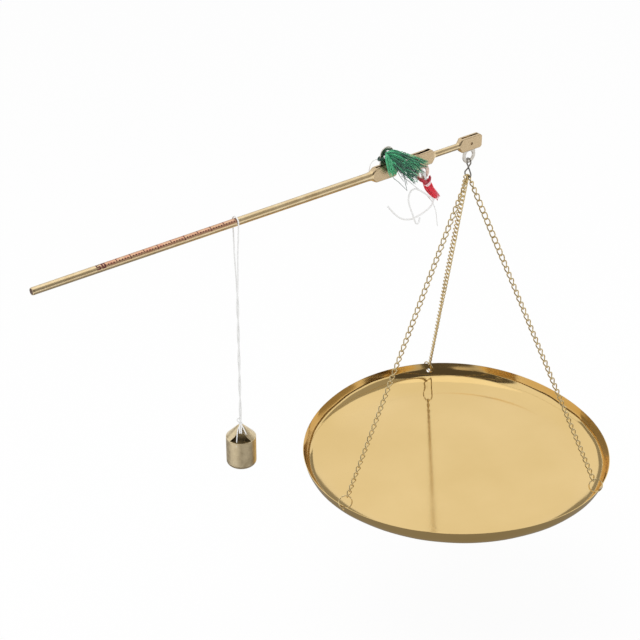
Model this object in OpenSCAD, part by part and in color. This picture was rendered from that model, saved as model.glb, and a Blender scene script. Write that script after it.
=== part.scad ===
// Hand-held brass steelyard with a hanging pan, a sliding poise and two lifting eyes.
// The origin is the centre of the outer lifting plate's eye, +X runs along the beam to the pan, +Z is up.

/* [Beam] */
// Distance along the beam from the pan's pin to the outer lifting pin
outer_arm = 66.5; // [62:0.5:76]
// Distance along the beam from the pan's pin to the inner lifting pin
inner_arm = 38.2; // [33:0.2:42]
// Length of the beam from the outer lifting pin to its thin tip
arm_l = 232; // [200:1:280]
// Diameter of the arm at the tip
tip_d = 4.2; // [3:0.1:4.8]
// Diameter of the arm where it meets the outer block
root_d = 4.9; // [4.2:0.1:5.6]
// Diameter of the bar between the outer block and the inner block
bridge_d = 4.1; // [3:0.1:5]
// Diameter of the bar between the inner block and the end block
neck_d = 3.8; // [3:0.1:5]

/* [Blocks] */
// Length of each slotted block along the beam
block_l = 16.4; // [15:0.2:20]
// Height of each block
block_h = 8.6; // [7.6:0.1:9.6]
// Thickness of each block across the beam
block_t = 4.2; // [3.4:0.1:5.2]
// Bevel on the corners of the blocks, seen from the side
block_bevel = 1; // [0.6:0.1:2.4]
// Length of the flare that runs from the arm into the outer block
flare_l = 5; // [3:0.5:8]
// Length of the slot through each block
slot_l = 13; // [12.4:0.1:13.6]
// Width of the slot through each block
slot_w = 1.3; // [1.1:0.1:2]

/* [Pins and plates] */
// Diameter of the cross pins
pin_d = 1.6; // [1:0.1:2.2]
// Radial play of a plate on its pin
pin_play = 0.08; // [0.04:0.01:0.1]
// Height of the outer lifting pin above the beam's axis
outer_rise = 2.2; // [1.6:0.1:2.4]
// Drop of the inner lifting pin below the beam's axis
inner_drop = 1.2; // [0:0.1:2]
// Thickness of the hanging plates
plate_t = 0.8; // [0.5:0.1:1]
// Diameter of a plate's round head
head_d = 10; // [9:0.1:10.6]
// Diameter of the eye in a plate's head
eye_d = 5.4; // [4.6:0.1:6]
// Width of a plate's tail round its pin
tail_w = 7; // [5:0.1:8]
// Distance from a plate's pin to the centre of its eye
eye_reach = 8.2; // [7.8:0.1:10]
// Lean of the outer lifting plate towards the pan, in degrees
outer_lean = 12; // [0:1:20]
// Lean of the inner lifting plate towards the pan, in degrees
inner_lean = 10; // [0:1:20]

/* [Hanger link] */
// Wire diameter of the link under the pan's plate
hanger_wire = 0.9; // [0.6:0.1:1]
// Outer width of the link's upper loop
upper_loop_w = 4.6; // [4.2:0.1:5.4]
// Outer height of the link's upper loop
upper_loop_h = 7.4; // [6.4:0.1:9]
// Outer width of the link's lower loop
lower_loop_w = 6; // [5.6:0.1:7]
// Outer height of the link's lower loop
lower_loop_h = 6.2; // [5.4:0.1:8]

/* [Chains] */
// Number of links in each chain
chain_links = 52; // [44:2:60]
// Outer length of a chain link
link_l = 5.55; // [5.2:0.01:6]
// Outer width of a chain link
link_w = 3.8; // [3.4:0.1:4.4]
// Wire diameter of a chain link
link_wire = 0.7; // [0.5:0.05:0.8]
// Gap left between the wires of two links
link_play = 0.05; // [0.03:0.01:0.1]

/* [Pan] */
// Diameter of the pan over its lip
pan_d = 200; // [160:1:230]
// Depth of the pan from its lip to its underside
pan_depth = 12.5; // [11:0.1:18]
// Thickness of the pan's sheet
sheet = 0.347; // [0.3:0.001:1]
// Outer radius of the bend between the floor and the wall
bend_r = 11; // [6:0.5:12]
// Angle of the wall above the horizontal, in degrees
wall_angle = 66; // [55:1:85]
// Distance from the lip down the wall to the ring holes
hole_drop = 3; // [2.4:0.1:3.2]
// Diameter of the ring holes
hole_d = 2.6; // [2.4:0.1:2.8]
// Outer diameter of the open rings in the lip
ring_d = 9.4; // [9.2:0.1:11]
// Wire diameter of the open rings
ring_wire = 0.8; // [0.5:0.05:0.85]
// Opening left between the ends of a ring, in degrees
ring_gap = 8; // [3:1:20]

/* [Poise] */
// Distance from the outer lifting pin to the zero mark
zero_arm = 105.5; // [90:0.05:120]
// Distance from the beam's axis down to the point of the poise
cord_drop = 131.8; // [90:1:160]
// Diameter of the poise's cord
cord_d = 0.9; // [0.6:0.1:1.2]
// Distance below the beam at which the two strands of the cord meet
strands_meet = 42; // [20:1:60]
// Diameter of the poise
poise_d = 17.7; // [14:0.1:22]
// Height of the poise's straight side
poise_h = 19; // [14:0.5:30]
// Height of the poise's pointed top
point_h = 7.5; // [6.5:0.1:12]
// Diameter of the flat at the top of the point
point_d = 3; // [2:0.1:4]
// Radius on the poise's lower edge
poise_round = 2.5; // [1:0.1:4]
// Width of the window through the point, at its sill
window_w = 12.4; // [8:0.1:14]
// Height of the window
window_h = 4.9; // [3.5:0.1:5.2]
// Turn of the poise about its cord, in degrees
poise_turn = -38; // [-90:1:90]

/* [Scale] */
// Distance between two marks of the fine scale
fine_step = 1.7; // [1.2:0.05:1.7]
// Number of steps on the fine scale
fine_steps = 50; // [30:5:60]
// Diameter of a dot
dot_d = 0.6; // [0.3:0.05:0.8]
// Height of the row of dots round the arm, in degrees above the level front line
dot_angle = 50; // [20:1:70]
// Width of the long marks
mark_w = 0.42; // [0.2:0.02:0.6]
// Height by which a mark stands off the arm
mark_proud = 0.03; // [0.01:0.01:0.06]

/* [Tassels] */
// Number of yarn bundles in the green tassel
green_bundles = 22; // [10:1:26]
// Number of yarn bundles in the red tassel
red_bundles = 10; // [6:1:14]
// Thickness of a yarn bundle
bundle_d = 1.1; // [0.8:0.1:1.4]

/* [Hidden] */
$fn = 48;

// Positions of the pins and of the beam's axis
outer_pin = [-eye_reach * sin(outer_lean), 0, -eye_reach * cos(outer_lean)];
beam_z = outer_pin[2] - outer_rise;
pan_pin = [outer_pin[0] + outer_arm, 0, beam_z];
inner_pin = [pan_pin[0] - inner_arm, 0, beam_z - inner_drop];
tip_x = outer_pin[0] - arm_l;
inner_eye = inner_pin + eye_reach * [sin(inner_lean), 0, -cos(inner_lean)];
pan_eye = pan_pin - [0, 0, eye_reach];

// The arm's radius at a distance from the outer lifting pin
arm_start = block_l / 2;
function arm_r(s) = (root_d + (tip_d - root_d) * (s - arm_start) / (arm_l - arm_start)) / 2;

// The hanger link hangs on the lower edge of the pan plate's eye
link_play_top = 0.12;
hanger_top = pan_eye[2] - eye_d / 2 + link_play_top + hanger_wire;
hanger_h = upper_loop_h + lower_loop_h - hanger_wire;
hanger_bar_z = hanger_top - hanger_h + hanger_wire / 2;
chain_gap = hanger_wire / 2 + link_wire / 2 + link_play;

// A chain pulls on its ring in a straight line from the hanger link to the ring's hole
link_span = link_l - link_wire;
link_pitch = link_span - link_wire - link_play;
ring_r = (ring_d - ring_wire) / 2;
ring_clear = 0.8;
ring_seat = hole_d / 2 - ring_wire / 2 - ring_clear;
ring_catch = ring_wire / 2 + link_wire / 2 + link_play;
chain_l = link_span + (chain_links - 1) * link_pitch;
hang_l = chain_l - chain_gap - ring_catch + 2 * ring_r + ring_seat;

// The pan's wall, seen in section
wall_rise = pan_depth - bend_r * (1 - cos(wall_angle));
wall_l = wall_rise / sin(wall_angle);
floor_r = pan_d / 2 - bend_r * sin(wall_angle) - wall_l * cos(wall_angle);
hole_r = pan_d / 2 - hole_drop * cos(wall_angle) - sheet / 2 * sin(wall_angle);
hole_z = pan_depth - hole_drop * sin(wall_angle) + sheet / 2 * cos(wall_angle);
pan_z = hanger_bar_z - sqrt(hang_l * hang_l - hole_r * hole_r) - hole_z;
ring_angles = [184.4, 292.4, 58.5];
ring_places = [0, -1.2, 1.2];
ring_turns = [-33, 33, 35];

// The poise hangs from the beam at the zero mark
zero_x = outer_pin[0] - zero_arm;
zero_r = arm_r(zero_arm);
saddle_play = 0.06;
saddle_r = zero_r + cord_d / 2 + saddle_play;
point_z = beam_z - cord_drop;
rim_z = point_z - point_h;
cord_half = cord_d * 0.53;
elbow_d = cord_d * 1.06;
knot_d = cord_d * 2.6;
knot_z = point_z + cord_d * 1.25;
knot_gap = 0.1;

// A rod along X between two places
module bar_x(x0, x1, d0, d1) {
  translate([x0, 0, beam_z]) rotate([0, 90, 0]) cylinder(h = x1 - x0, d1 = d0, d2 = d1);
}

// The side outline of a block round the beam's axis, with the arm's flare on its left end if asked
flare_sink = 0.1;
function block_outline(flare) =
  let (
    l = block_l / 2,
    h = block_h / 2,
    b = block_bevel,
    knee_x = l + 0.35 * flare_l,
    knee_z = 0.62 * h,
    foot_x = l + flare_l,
    foot_z = root_d / 2 - flare_sink)
  concat(
    [[l - b, -h], [l, b - h], [l, h - b], [l - b, h]],
    flare
      ? [[b - l, h], [-knee_x, knee_z], [-foot_x, foot_z],
         [-foot_x, -foot_z], [-knee_x, -knee_z], [b - l, -h]]
      : [[b - l, h], [-l, h - b], [-l, b - h], [b - l, -h]]);

// A solid block centred at x
module block_blank(x, flare = false) {
  translate([x, 0, beam_z]) rotate([90, 0, 0])
    linear_extrude(height = block_t, center = true) polygon(block_outline(flare));
}

module slot_cut(x) {
  translate([x - slot_l / 2, -slot_w / 2, beam_z - block_h]) cube([slot_l, slot_w, 2 * block_h]);
}

module cross_pin(at, d, l) {
  translate(at) rotate([90, 0, 0]) cylinder(h = l, d = d, center = true);
}

// A round shoulder where a bar of diameter d leaves a block at x, to the right if dir is 1
sink = 1;
module shoulder(x, dir, d) {
  shoulder_l = 1.4;
  big = d + 1;
  small = d + 0.1;
  if (dir > 0) bar_x(x - sink, x + shoulder_l, big, small);
  else bar_x(x - shoulder_l, x + sink, small, big);
}

module beam() {
  chamfer = 0.4;
  half = block_l / 2;
  color("goldenrod") difference() {
    union() {
      bar_x(tip_x, tip_x + chamfer, tip_d - 2 * chamfer, tip_d);
      bar_x(tip_x + chamfer, outer_pin[0] - arm_start + sink, tip_d, root_d);
      bar_x(outer_pin[0] + half - sink, inner_pin[0] - half + sink, bridge_d, bridge_d);
      bar_x(inner_pin[0] + half - sink, pan_pin[0] - half + sink, neck_d, neck_d);
      shoulder(outer_pin[0] + half, 1, bridge_d);
      shoulder(inner_pin[0] - half, -1, bridge_d);
      shoulder(inner_pin[0] + half, 1, neck_d);
      shoulder(pan_pin[0] - half, -1, neck_d);
      block_blank(outer_pin[0], true);
      block_blank(inner_pin[0]);
      block_blank(pan_pin[0]);
    }
    for (p = [outer_pin, inner_pin, pan_pin]) {
      slot_cut(p[0]);
      cross_pin(p, pin_d, 2 * block_t);
    }
  }
}

module outer_pin_rod() { color("khaki") cross_pin(outer_pin, pin_d, block_t); }
module inner_pin_rod() { color("khaki") cross_pin(inner_pin, pin_d, block_t); }
module pan_pin_rod() { color("khaki") cross_pin(pan_pin, pin_d, block_t); }

// A plate with its pin hole at the origin and its eye straight above it
module eye_plate() {
  flank = 6;
  r0 = tail_w / 2;
  r1 = head_d / 2;
  rotate([90, 0, 0]) linear_extrude(height = plate_t, center = true) difference() {
    union() {
      circle(d = tail_w);
      translate([0, eye_reach]) circle(d = head_d);
      polygon([
        [-r0 * cos(flank), -r0 * sin(flank)],
        [r0 * cos(flank), -r0 * sin(flank)],
        [r1 * cos(flank), eye_reach + r1 * sin(flank)],
        [-r1 * cos(flank), eye_reach + r1 * sin(flank)]]);
    }
    circle(d = pin_d + 2 * pin_play);
    translate([0, eye_reach]) circle(d = eye_d);
  }
}

module outer_plate() { color("silver") translate(outer_pin) rotate([0, outer_lean, 0]) eye_plate(); }
module inner_plate() { color("silver") translate(inner_pin) rotate([0, 180 - inner_lean, 0]) eye_plate(); }
module pan_plate() { color("silver") translate(pan_pin) rotate([0, 180, 0]) eye_plate(); }

// A closed wire loop in the YZ plane, w by h over its wire, with the centre of its top wire at the origin
module wire_loop(w, h, wire, corner) {
  y = (w - wire) / 2 - corner;
  z = h - wire - 2 * corner;
  translate([0, 0, -corner]) rotate([90, 0, 90]) {
    for (s = [-1, 1]) {
      translate([s * y, 0]) rotate([0, 0, s > 0 ? 0 : 90])
        rotate_extrude(angle = 90) translate([corner, 0]) circle(d = wire);
      translate([s * y, -z]) rotate([0, 0, s > 0 ? 270 : 180])
        rotate_extrude(angle = 90) translate([corner, 0]) circle(d = wire);
      if (z > 0.01) translate([s * (y + corner), -z, 0]) rotate([-90, 0, 0]) cylinder(h = z, d = wire);
    }
    if (y > 0.01) for (v = [corner, -z - corner])
      translate([-y, v, 0]) rotate([0, 90, 0]) cylinder(h = 2 * y, d = wire);
  }
}

module hanger_link() {
  flat = 0.02;
  lower_corner = 1.1;
  color("dimgray") translate([pan_pin[0], 0, hanger_top - hanger_wire / 2]) {
    wire_loop(upper_loop_w, upper_loop_h, hanger_wire, (upper_loop_w - hanger_wire) / 2 - flat);
    translate([0, 0, hanger_wire - upper_loop_h])
      wire_loop(lower_loop_w, lower_loop_h, hanger_wire, lower_corner);
  }
}

// Vectors for the chains
function unit(v) = v / norm(v);
function hole_at(a) = [pan_pin[0] + hole_r * cos(a), hole_r * sin(a), pan_z + hole_z];
function hook_at(y) = [pan_pin[0], y, hanger_bar_z];

// Places children with +Z along v and +X in the upright plane that holds v
module along(v) {
  rotate([0, acos(v[2] / norm(v)), atan2(v[1], v[0])]) children();
}

// One chain link: round ends in the XZ plane, its middle at the origin, its length along Z
module chain_link() {
  $fn = 16;
  r = (link_w - link_wire) / 2;
  leg = link_span - 2 * r;
  rotate([90, 0, 0]) {
    for (s = [0, 180]) rotate([0, 0, s]) translate([0, leg / 2])
      rotate_extrude(angle = 180) translate([r, 0]) circle(d = link_wire);
    for (s = [-1, 1]) translate([s * r, -leg / 2, 0]) rotate([-90, 0, 0]) cylinder(h = leg, d = link_wire);
  }
}

// A straight chain from the hanger link's lower bar to the ring at angle a
// The first link stands square to the bar, and the last one square to the ring
module chain(i) {
  a = ring_angles[i];
  from = hook_at(ring_places[i]);
  run = hole_at(a) - from;
  dir = unit(run);
  full = norm(run) + chain_gap + ring_catch - 2 * ring_r - ring_seat;
  pitch = (full - link_span) / (chain_links - 1);
  heading = atan2(run[1], run[0]);
  start = atan2(dir[2] * sin(heading), cos(heading));
  wrap = start > 90 ? start - 180 : start < -90 ? start + 180 : start;
  drift = (wrap - ring_turns[i]) / (chain_links - 1);
  translate(from - chain_gap * dir) along(dir)
    for (k = [0:chain_links - 1])
      translate([0, 0, link_span / 2 + k * pitch]) rotate([0, 0, -wrap + k * (90 + drift)]) chain_link();
}

module left_chain() { color("gold") chain(0); }
module right_chain() { color("gold") chain(1); }
module rear_chain() { color("gold") chain(2); }

// An open ring through the hole at angle a and over the lip, in line with its chain and turned about it
module rim_ring(i) {
  a = ring_angles[i];
  run = hook_at(ring_places[i]) - hole_at(a);
  dir = unit(run);
  translate(hole_at(a) + (ring_seat + ring_r) * dir) along(dir) rotate([0, 0, ring_turns[i]])
    rotate([90, 0, 0]) rotate([0, 0, 150 + ring_gap / 2])
      rotate_extrude(angle = 360 - ring_gap) translate([ring_r, 0]) circle(d = ring_wire);
}

module left_ring() { color("gold") rim_ring(0); }
module right_ring() { color("gold") rim_ring(1); }
module rear_ring() { color("gold") rim_ring(2); }

// The pan's section: the outer line from the middle to the lip, and back inside the sheet
bend_steps = 10;
function bend_point(r, t) = [floor_r + r * sin(t), bend_r - r * cos(t)];
function bend_points(r) = [for (k = [0:bend_steps]) bend_point(r, wall_angle * k / bend_steps)];
function back_to_front(list) = [for (k = [len(list) - 1:-1:0]) list[k]];
lip_out = [pan_d / 2, pan_depth];
lip_in = lip_out + sheet * [-sin(wall_angle), cos(wall_angle)];

module pan() {
  color("gold") translate([pan_pin[0], 0, pan_z]) difference() {
    rotate_extrude($fn = 180) polygon(concat(
      [[0, 0]], bend_points(bend_r), [lip_out, lip_in],
      back_to_front(bend_points(bend_r - sheet)), [[0, sheet]]));
    for (a = ring_angles) rotate([0, 0, a]) translate([hole_r, 0, hole_z])
      rotate([0, wall_angle, 0]) cylinder(h = 6 * sheet, d = hole_d, center = true);
  }
}

// Marks on the arm: s is the distance from the outer lifting pin, up the angle above the front line
mark_root = 0.4;
ring_low = 0;
ring_high = 115;
module dot(s, up) {
  translate([outer_pin[0] - s, 0, beam_z]) rotate([90 - up, 0, 0])
    translate([0, 0, arm_r(s) - mark_root]) cylinder(h = mark_root + mark_proud, d = dot_d, $fn = 24);
}

module arc_mark(s, low, high) {
  translate([outer_pin[0] - s, 0, beam_z]) rotate([0, -90, 0]) rotate([0, 0, -90 - high])
    rotate_extrude(angle = high - low)
      translate([arm_r(s) - mark_root, -mark_w / 2]) square([mark_root + mark_proud, mark_w]);
}

module fine_scale() {
  color("darkred") for (k = [0:fine_steps]) {
    s = zero_arm + k * fine_step;
    if (k % 10 == 0) arc_mark(s, ring_low, ring_high);
    else if (k % 5 == 0) arc_mark(s, dot_angle - 6, ring_high);
    else dot(s, dot_angle);
  }
}

// The coarse scale reads with the inner lifting plate, when the beam is turned over
coarse_step = 4.9;
coarse_start = arm_start + 14;
coarse_end = arm_l - 8;
coarse_steps = floor((coarse_end - coarse_start) / coarse_step);
module coarse_scale() {
  color("darkred") for (k = [0:coarse_steps]) {
    s = coarse_start + k * coarse_step;
    if (k % 5 == 0) arc_mark(s, 180 + ring_low, 180 + ring_high);
    else dot(s, 180 + dot_angle);
  }
}

// Cords are tubes along lists of points, with a ring of corners at each point
function tangent(p, i) = unit(p[min(i + 1, len(p) - 1)] - p[max(i - 1, 0)]);
function ring_points(p, i, r, n) =
  let (t = tangent(p, i), u = unit(cross([0, 1, 0], t)), v = cross(t, u))
  [for (k = [0:n - 1]) p[i] + r * (cos(360 * k / n) * u + sin(360 * k / n) * v)];
module tube(p, d, n = 8) {
  m = len(p);
  polyhedron(
    points = [for (i = [0:m - 1]) each ring_points(p, i, d / 2, n)],
    faces = concat(
      [[for (k = [0:n - 1]) k]],
      [for (i = [0:m - 2]) for (k = [0:n - 1]) let (a = i * n + k, b = i * n + (k + 1) % n) each
        [[a, a + n, b + n], [a, b + n, b]]],
      [[for (k = [n - 1:-1:0]) (m - 1) * n + k]]));
}

// The poise's cord: a saddle over the arm, two strands that meet, and the doubled length to the knot
module poise_saddle() {
  hinge_gap = 0.05;
  leg = elbow_d / 2 + hinge_gap;
  color("ivory") translate([zero_x, 0, beam_z]) rotate([90, 0, 90]) {
    translate([0, leg]) rotate_extrude(angle = 180) translate([saddle_r, 0]) circle(d = cord_d);
  }
}

module poise_cord() {
  lean = atan((saddle_r - cord_half) / strands_meet);
  slant = norm([saddle_r - cord_half, strands_meet]);
  straight = beam_z - strands_meet - knot_z - knot_d / 2 - knot_gap;
  color("ivory") for (s = [-1, 1]) translate([zero_x, 0, beam_z]) {
    translate([0, s * saddle_r, 0]) rotate([180 - s * lean, 0, 0]) cylinder(h = slant, d = cord_d);
    translate([0, s * saddle_r, 0]) sphere(d = elbow_d);
    translate([0, s * cord_half, -strands_meet]) sphere(d = elbow_d);
    translate([0, s * cord_half, -strands_meet - straight]) cylinder(h = straight, d = cord_d);
  }
}

// The knot sits on the point, and its loop passes round the bridge and through the window
module poise_knot() {
  eave_z = window_h - point_h;
  out = unit([0, point_h, (poise_d - point_d) / 2]);
  eave = [0, point_d / 2 + out[2] / out[1] * -eave_z, eave_z];
  stand = 0.64 * cord_d;
  shoulder = [0, point_d / 2, 0] + stand * out;
  turn = eave + stand * unit(out - [0, 0, 1]);
  under = eave - [0, 0, stand];
  color("ivory") translate([zero_x, 0, point_z]) rotate([0, 0, poise_turn]) {
    translate([0, 0, knot_z - point_z]) sphere(d = knot_d);
    for (s = [-1, 1]) {
      strut(side([0, knot_d / 3, cord_d], s), side(shoulder, s));
      strut(side(shoulder, s), side(eave + stand * out, s));
      strut(side(eave + stand * out, s), side(turn, s));
      strut(side(turn, s), side(under, s));
    }
    strut(side(under, -1), side(under, 1));
  }
}

function side(p, s) = [p[0], s * p[1], p[2]];

// A round-ended length of cord between two points
module strut(a, b) {
  translate(a) sphere(d = elbow_d);
  translate(b) sphere(d = elbow_d);
  translate(a) along(b - a) cylinder(h = norm(b - a), d = cord_d);
}

module poise() {
  window_top = 1.6;
  core_d = poise_d - 2 * poise_round + 0.02;
  color("darkkhaki") translate([zero_x, 0, rim_z]) rotate([0, 0, poise_turn]) difference() {
    union() {
      cylinder(h = point_h, d1 = poise_d, d2 = point_d);
      translate([0, 0, poise_round - poise_h]) cylinder(h = poise_h - poise_round, d = poise_d);
      translate([0, 0, poise_round - poise_h]) rotate_extrude()
        translate([poise_d / 2 - poise_round, 0]) intersection() {
          circle(r = poise_round);
          translate([0, -2 * poise_round]) square([2 * poise_round, 2 * poise_round]);
        }
      translate([0, 0, -poise_h]) cylinder(h = poise_h - 1, d = core_d);
    }
    rotate([90, 0, 0]) linear_extrude(height = 2 * poise_d, center = true) polygon([
      [-window_w / 2, 0], [window_w / 2, 0], [window_top / 2, window_h], [-window_top / 2, window_h]]);
  }
}

// Tassel yarn: a bundle follows a curve through four points and is drawn as short tapered lengths
function curve_at(c, t) = let (u = 1 - t)
  u * u * u * c[0] + 3 * u * u * t * c[1] + 3 * u * t * t * c[2] + t * t * t * c[3];
module bundle(c, d0, d1, steps = 5) {
  for (k = [0:steps - 1]) hull() {
    translate(curve_at(c, k / steps)) sphere(d = d0 + (d1 - d0) * k / steps, $fn = 6);
    translate(curve_at(c, (k + 1) / steps)) sphere(d = d0 + (d1 - d0) * (k + 1) / steps, $fn = 6);
  }
}
// A steady scatter between -1 and 1
function scatter(k, salt) = sin(k * 137.5 + salt * 71);

// The yarn leaves the eye, drapes in front of the beam and spreads towards the inner block
green_root = [0.6, -3.4, -0.6];
function green_curve(k) = let (
    f = k / (green_bundles - 1),
    reach = 30 - 20 * f + 2 * scatter(k, 1),
    fall = 10.5 + 9 * f * (1.6 - f) + 1.5 * scatter(k, 2),
    depth = -5.4 + 1.2 * scatter(k, 3))
  [green_root,
   green_root + [reach * 0.25, -0.8, 3.2 - 2.5 * f],
   [reach * 0.62, depth, 1 - 6 * f],
   [reach, depth, -fall]];
function lock_curve(k) =
  [green_root,
   [-1.6 + 0.8 * k, -4.6, -1],
   [-1.8 + 1.1 * k, -4.8, -6],
   [-2.2 + 1.3 * k, -4.6, -11.5 + 0.4 * k * k]];

module green_tassel() {
  color("seagreen") {
    for (k = [0:green_bundles - 1]) bundle(green_curve(k), bundle_d * 1.3, bundle_d * 0.8);
    for (k = [0:3]) bundle(lock_curve(k), bundle_d * 1.4, bundle_d * 1.1, 3);
    translate(green_root) sphere(d = 3.6, $fn = 16);
  }
}

// The tassel's cord goes through the eye and round the plate's head
module green_tie() {
  color("darkgreen") {
    bundle([[0.2, 1.2, 0.4], [0.2, 0.4, 0.2], [0.3, -0.8, -0.1], green_root + [0, 2, 0.3]], 3, 2.4, 3);
    bundle([[0.2, 1.2, 0.4], [-0.5, 2.3, -1], [-4.6, 3.2, -1.8], [-6.5, 0, -1.6]], 1.2, 1.2, 4);
    bundle([[-6.5, 0, -1.6], [-6.2, -1.8, -1], [-4, -2.6, 0], green_root + [-1, 0.6, 0.2]], 1.2, 1.6, 4);
  }
}

red_neck = inner_eye + [2.6, 0, -6];
red_axis = [10.5, 0, -14.5];
function red_curve(k) = let (
    side = scatter(k, 4),
    depth = 1.7 * scatter(k, 5),
    far = red_neck + red_axis * (0.95 + 0.08 * scatter(k, 6)) + [1.6 * side, depth * 0.6, 0.6 * side])
  [red_neck,
   red_neck + [3.4 * side + 1.6, depth, -3],
   red_neck + red_axis * 0.6 + [3 * side, depth, 1.2 * side],
   far];
// The cut ends above the band lie in front of the plate
function ear_curve(s) = [
  red_neck + [0, -1.6, -0.4],
  red_neck + [1.6 * s, -1.8, 0.6],
  red_neck + [3 * s, -2, 1.4],
  red_neck + [3.9 * s, -2.2, 2.2]];

module red_tassel() {
  color("crimson") {
    for (k = [0:red_bundles - 1]) bundle(red_curve(k), bundle_d * 1.4, bundle_d * 0.7);
    for (s = [-1, 1]) bundle(ear_curve(s), 2.2, 1.6, 2);
  }
}

module red_band() {
  color("mistyrose") translate(red_neck + 0.06 * red_axis) along(red_axis) cylinder(h = 1.8, d = 4.6);
}

// The tie passes through the inner eye and comes down on both sides of the plate
function tie_across() = [for (p = [[0.2, 1.3, 0.6], [0.4, 0.4, 0.3], [0.4, -0.6, 0.2], [0.4, -1.5, -0.2]])
  inner_eye + p];
function tie_down(s) = [
  inner_eye + [0.3, 1.4 * s, 0.2],
  inner_eye + [1, 1.7 * s, -2.4],
  inner_eye + [1.8, 1.6 * s, -4],
  red_neck + [0, 0.6 * s, 0]];

module red_tie() {
  color("ivory") {
    bundle(tie_across(), 1.2, 1.2, 2);
    for (s = [-1, 1]) bundle(tie_down(s), 1.2, 1.2, 3);
  }
}

// Loose cords of the red tassel, as they lie in the air below it
long_cord_route = [
  [38, 0.5, -40.5], [36.6, 0.2, -43], [34.4, -0.3, -44.1], [32, -0.8, -44.8], [29.6, -1.1, -45.2],
  [27, -1.4, -45.7], [24.4, -1.4, -46.2], [21.8, -1.3, -46.6], [19, -1.2, -46.7], [16.4, -1, -46.3],
  [14, -1, -45.5], [11.8, -1, -44.3], [9.6, -1, -42.7], [7.6, -1, -40.9], [5.8, -1, -39],
  [4.2, -1, -37.2], [2.6, -1, -35.2], [1, -1, -33.2]];
curled_cord_route = [
  [36.8, -1.2, -38.9], [34.2, -1.9, -36.9], [31.4, -2.3, -34.7], [28.6, -2.6, -32.4], [25.8, -2.8, -30.2],
  [23.2, -2.9, -28.2], [20.8, -3, -26.8], [18.6, -3, -26.4], [16.6, -3, -27.2], [15.4, -3, -29.2],
  [15, -3, -31.8], [15.4, -3, -34.4], [16.4, -3, -37.4], [17.6, -3, -40.4], [18.8, -3, -43.4],
  [20, -3, -46.4], [21.2, -3, -49.2], [22.6, -3, -50.2], [23.9, -3, -49.2], [24.2, -3, -47]];
thread_route = [
  [9, -3, -15], [12, -3, -17.6], [15.6, -2.9, -20.8], [19.4, -2.6, -24.4], [23.2, -1.8, -27.8],
  [27.6, -0.9, -31.6], [32.4, 0.6, -35.6], [36, 2.6, -39], [38.4, 2.6, -42], [40.2, 2.6, -45.2],
  [41.8, 2.6, -48.8], [42.7, 2.6, -52.6], [43.3, 2.6, -56.4], [43.9, 2.6, -60.2]];
loop_thread_route = [
  [-5.3, 1.8, -2], [-6.5, 2.5, -2.4], [-7.9, 3.1, -3.1], [-9.2, 3.2, -4.4], [-9.8, 3.3, -6.2],
  [-10.2, 3.4, -8.2], [-10.2, 3.4, -10]];
thread_d = 0.5;

module long_cord() { color("white") tube(long_cord_route, cord_d); }
module curled_cord() { color("white") tube(curled_cord_route, cord_d); }
module thread() { color("white") tube(thread_route, thread_d); }
module loop_thread() { color("white") tube(loop_thread_route, thread_d); }

beam();
outer_pin_rod();  // outer_pin
inner_pin_rod();  // inner_pin
pan_pin_rod();  // pan_pin
fine_scale();
coarse_scale();
outer_plate();
inner_plate();
pan_plate();
hanger_link();
left_chain();
right_chain();
rear_chain();
left_ring();
right_ring();
rear_ring();
pan();
poise_saddle();
poise_cord();
poise_knot();
poise();
green_tassel();
green_tie();
red_tassel();
red_band();
red_tie();
long_cord();
curled_cord();
thread();
loop_thread();
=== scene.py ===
import math
import random

import bpy
from mathutils import Matrix, Vector


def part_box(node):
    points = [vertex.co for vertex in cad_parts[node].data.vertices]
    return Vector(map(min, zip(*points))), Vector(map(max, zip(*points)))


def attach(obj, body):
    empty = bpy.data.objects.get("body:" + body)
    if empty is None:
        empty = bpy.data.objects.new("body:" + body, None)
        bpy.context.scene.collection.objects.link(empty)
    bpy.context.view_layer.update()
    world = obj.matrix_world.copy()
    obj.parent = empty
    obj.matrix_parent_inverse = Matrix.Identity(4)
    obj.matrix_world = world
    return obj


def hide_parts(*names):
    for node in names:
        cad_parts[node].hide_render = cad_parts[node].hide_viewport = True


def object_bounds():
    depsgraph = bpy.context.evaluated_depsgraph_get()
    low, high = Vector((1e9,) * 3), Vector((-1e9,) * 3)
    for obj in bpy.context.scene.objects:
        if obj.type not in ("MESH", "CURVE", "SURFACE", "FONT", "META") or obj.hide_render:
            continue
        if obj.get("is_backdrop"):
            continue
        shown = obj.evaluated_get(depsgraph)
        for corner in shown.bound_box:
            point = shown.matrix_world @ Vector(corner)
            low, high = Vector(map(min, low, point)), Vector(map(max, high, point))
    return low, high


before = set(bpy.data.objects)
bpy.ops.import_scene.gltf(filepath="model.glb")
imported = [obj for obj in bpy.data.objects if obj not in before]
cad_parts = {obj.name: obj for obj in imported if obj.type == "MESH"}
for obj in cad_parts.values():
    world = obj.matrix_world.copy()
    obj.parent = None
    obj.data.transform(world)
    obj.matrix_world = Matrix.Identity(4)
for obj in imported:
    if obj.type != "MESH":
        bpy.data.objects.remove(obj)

cad_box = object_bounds()
mm = 0.001

# The camera stands in front of the graduated tip, a little above the beam, with a long lens.
# It looks down at about 30 degrees, so that the whole floor of the pan shows.
def put_in_scene(name, data):
    made = bpy.data.objects.new(name, data)
    bpy.context.scene.collection.objects.link(made)
    return made


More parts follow.
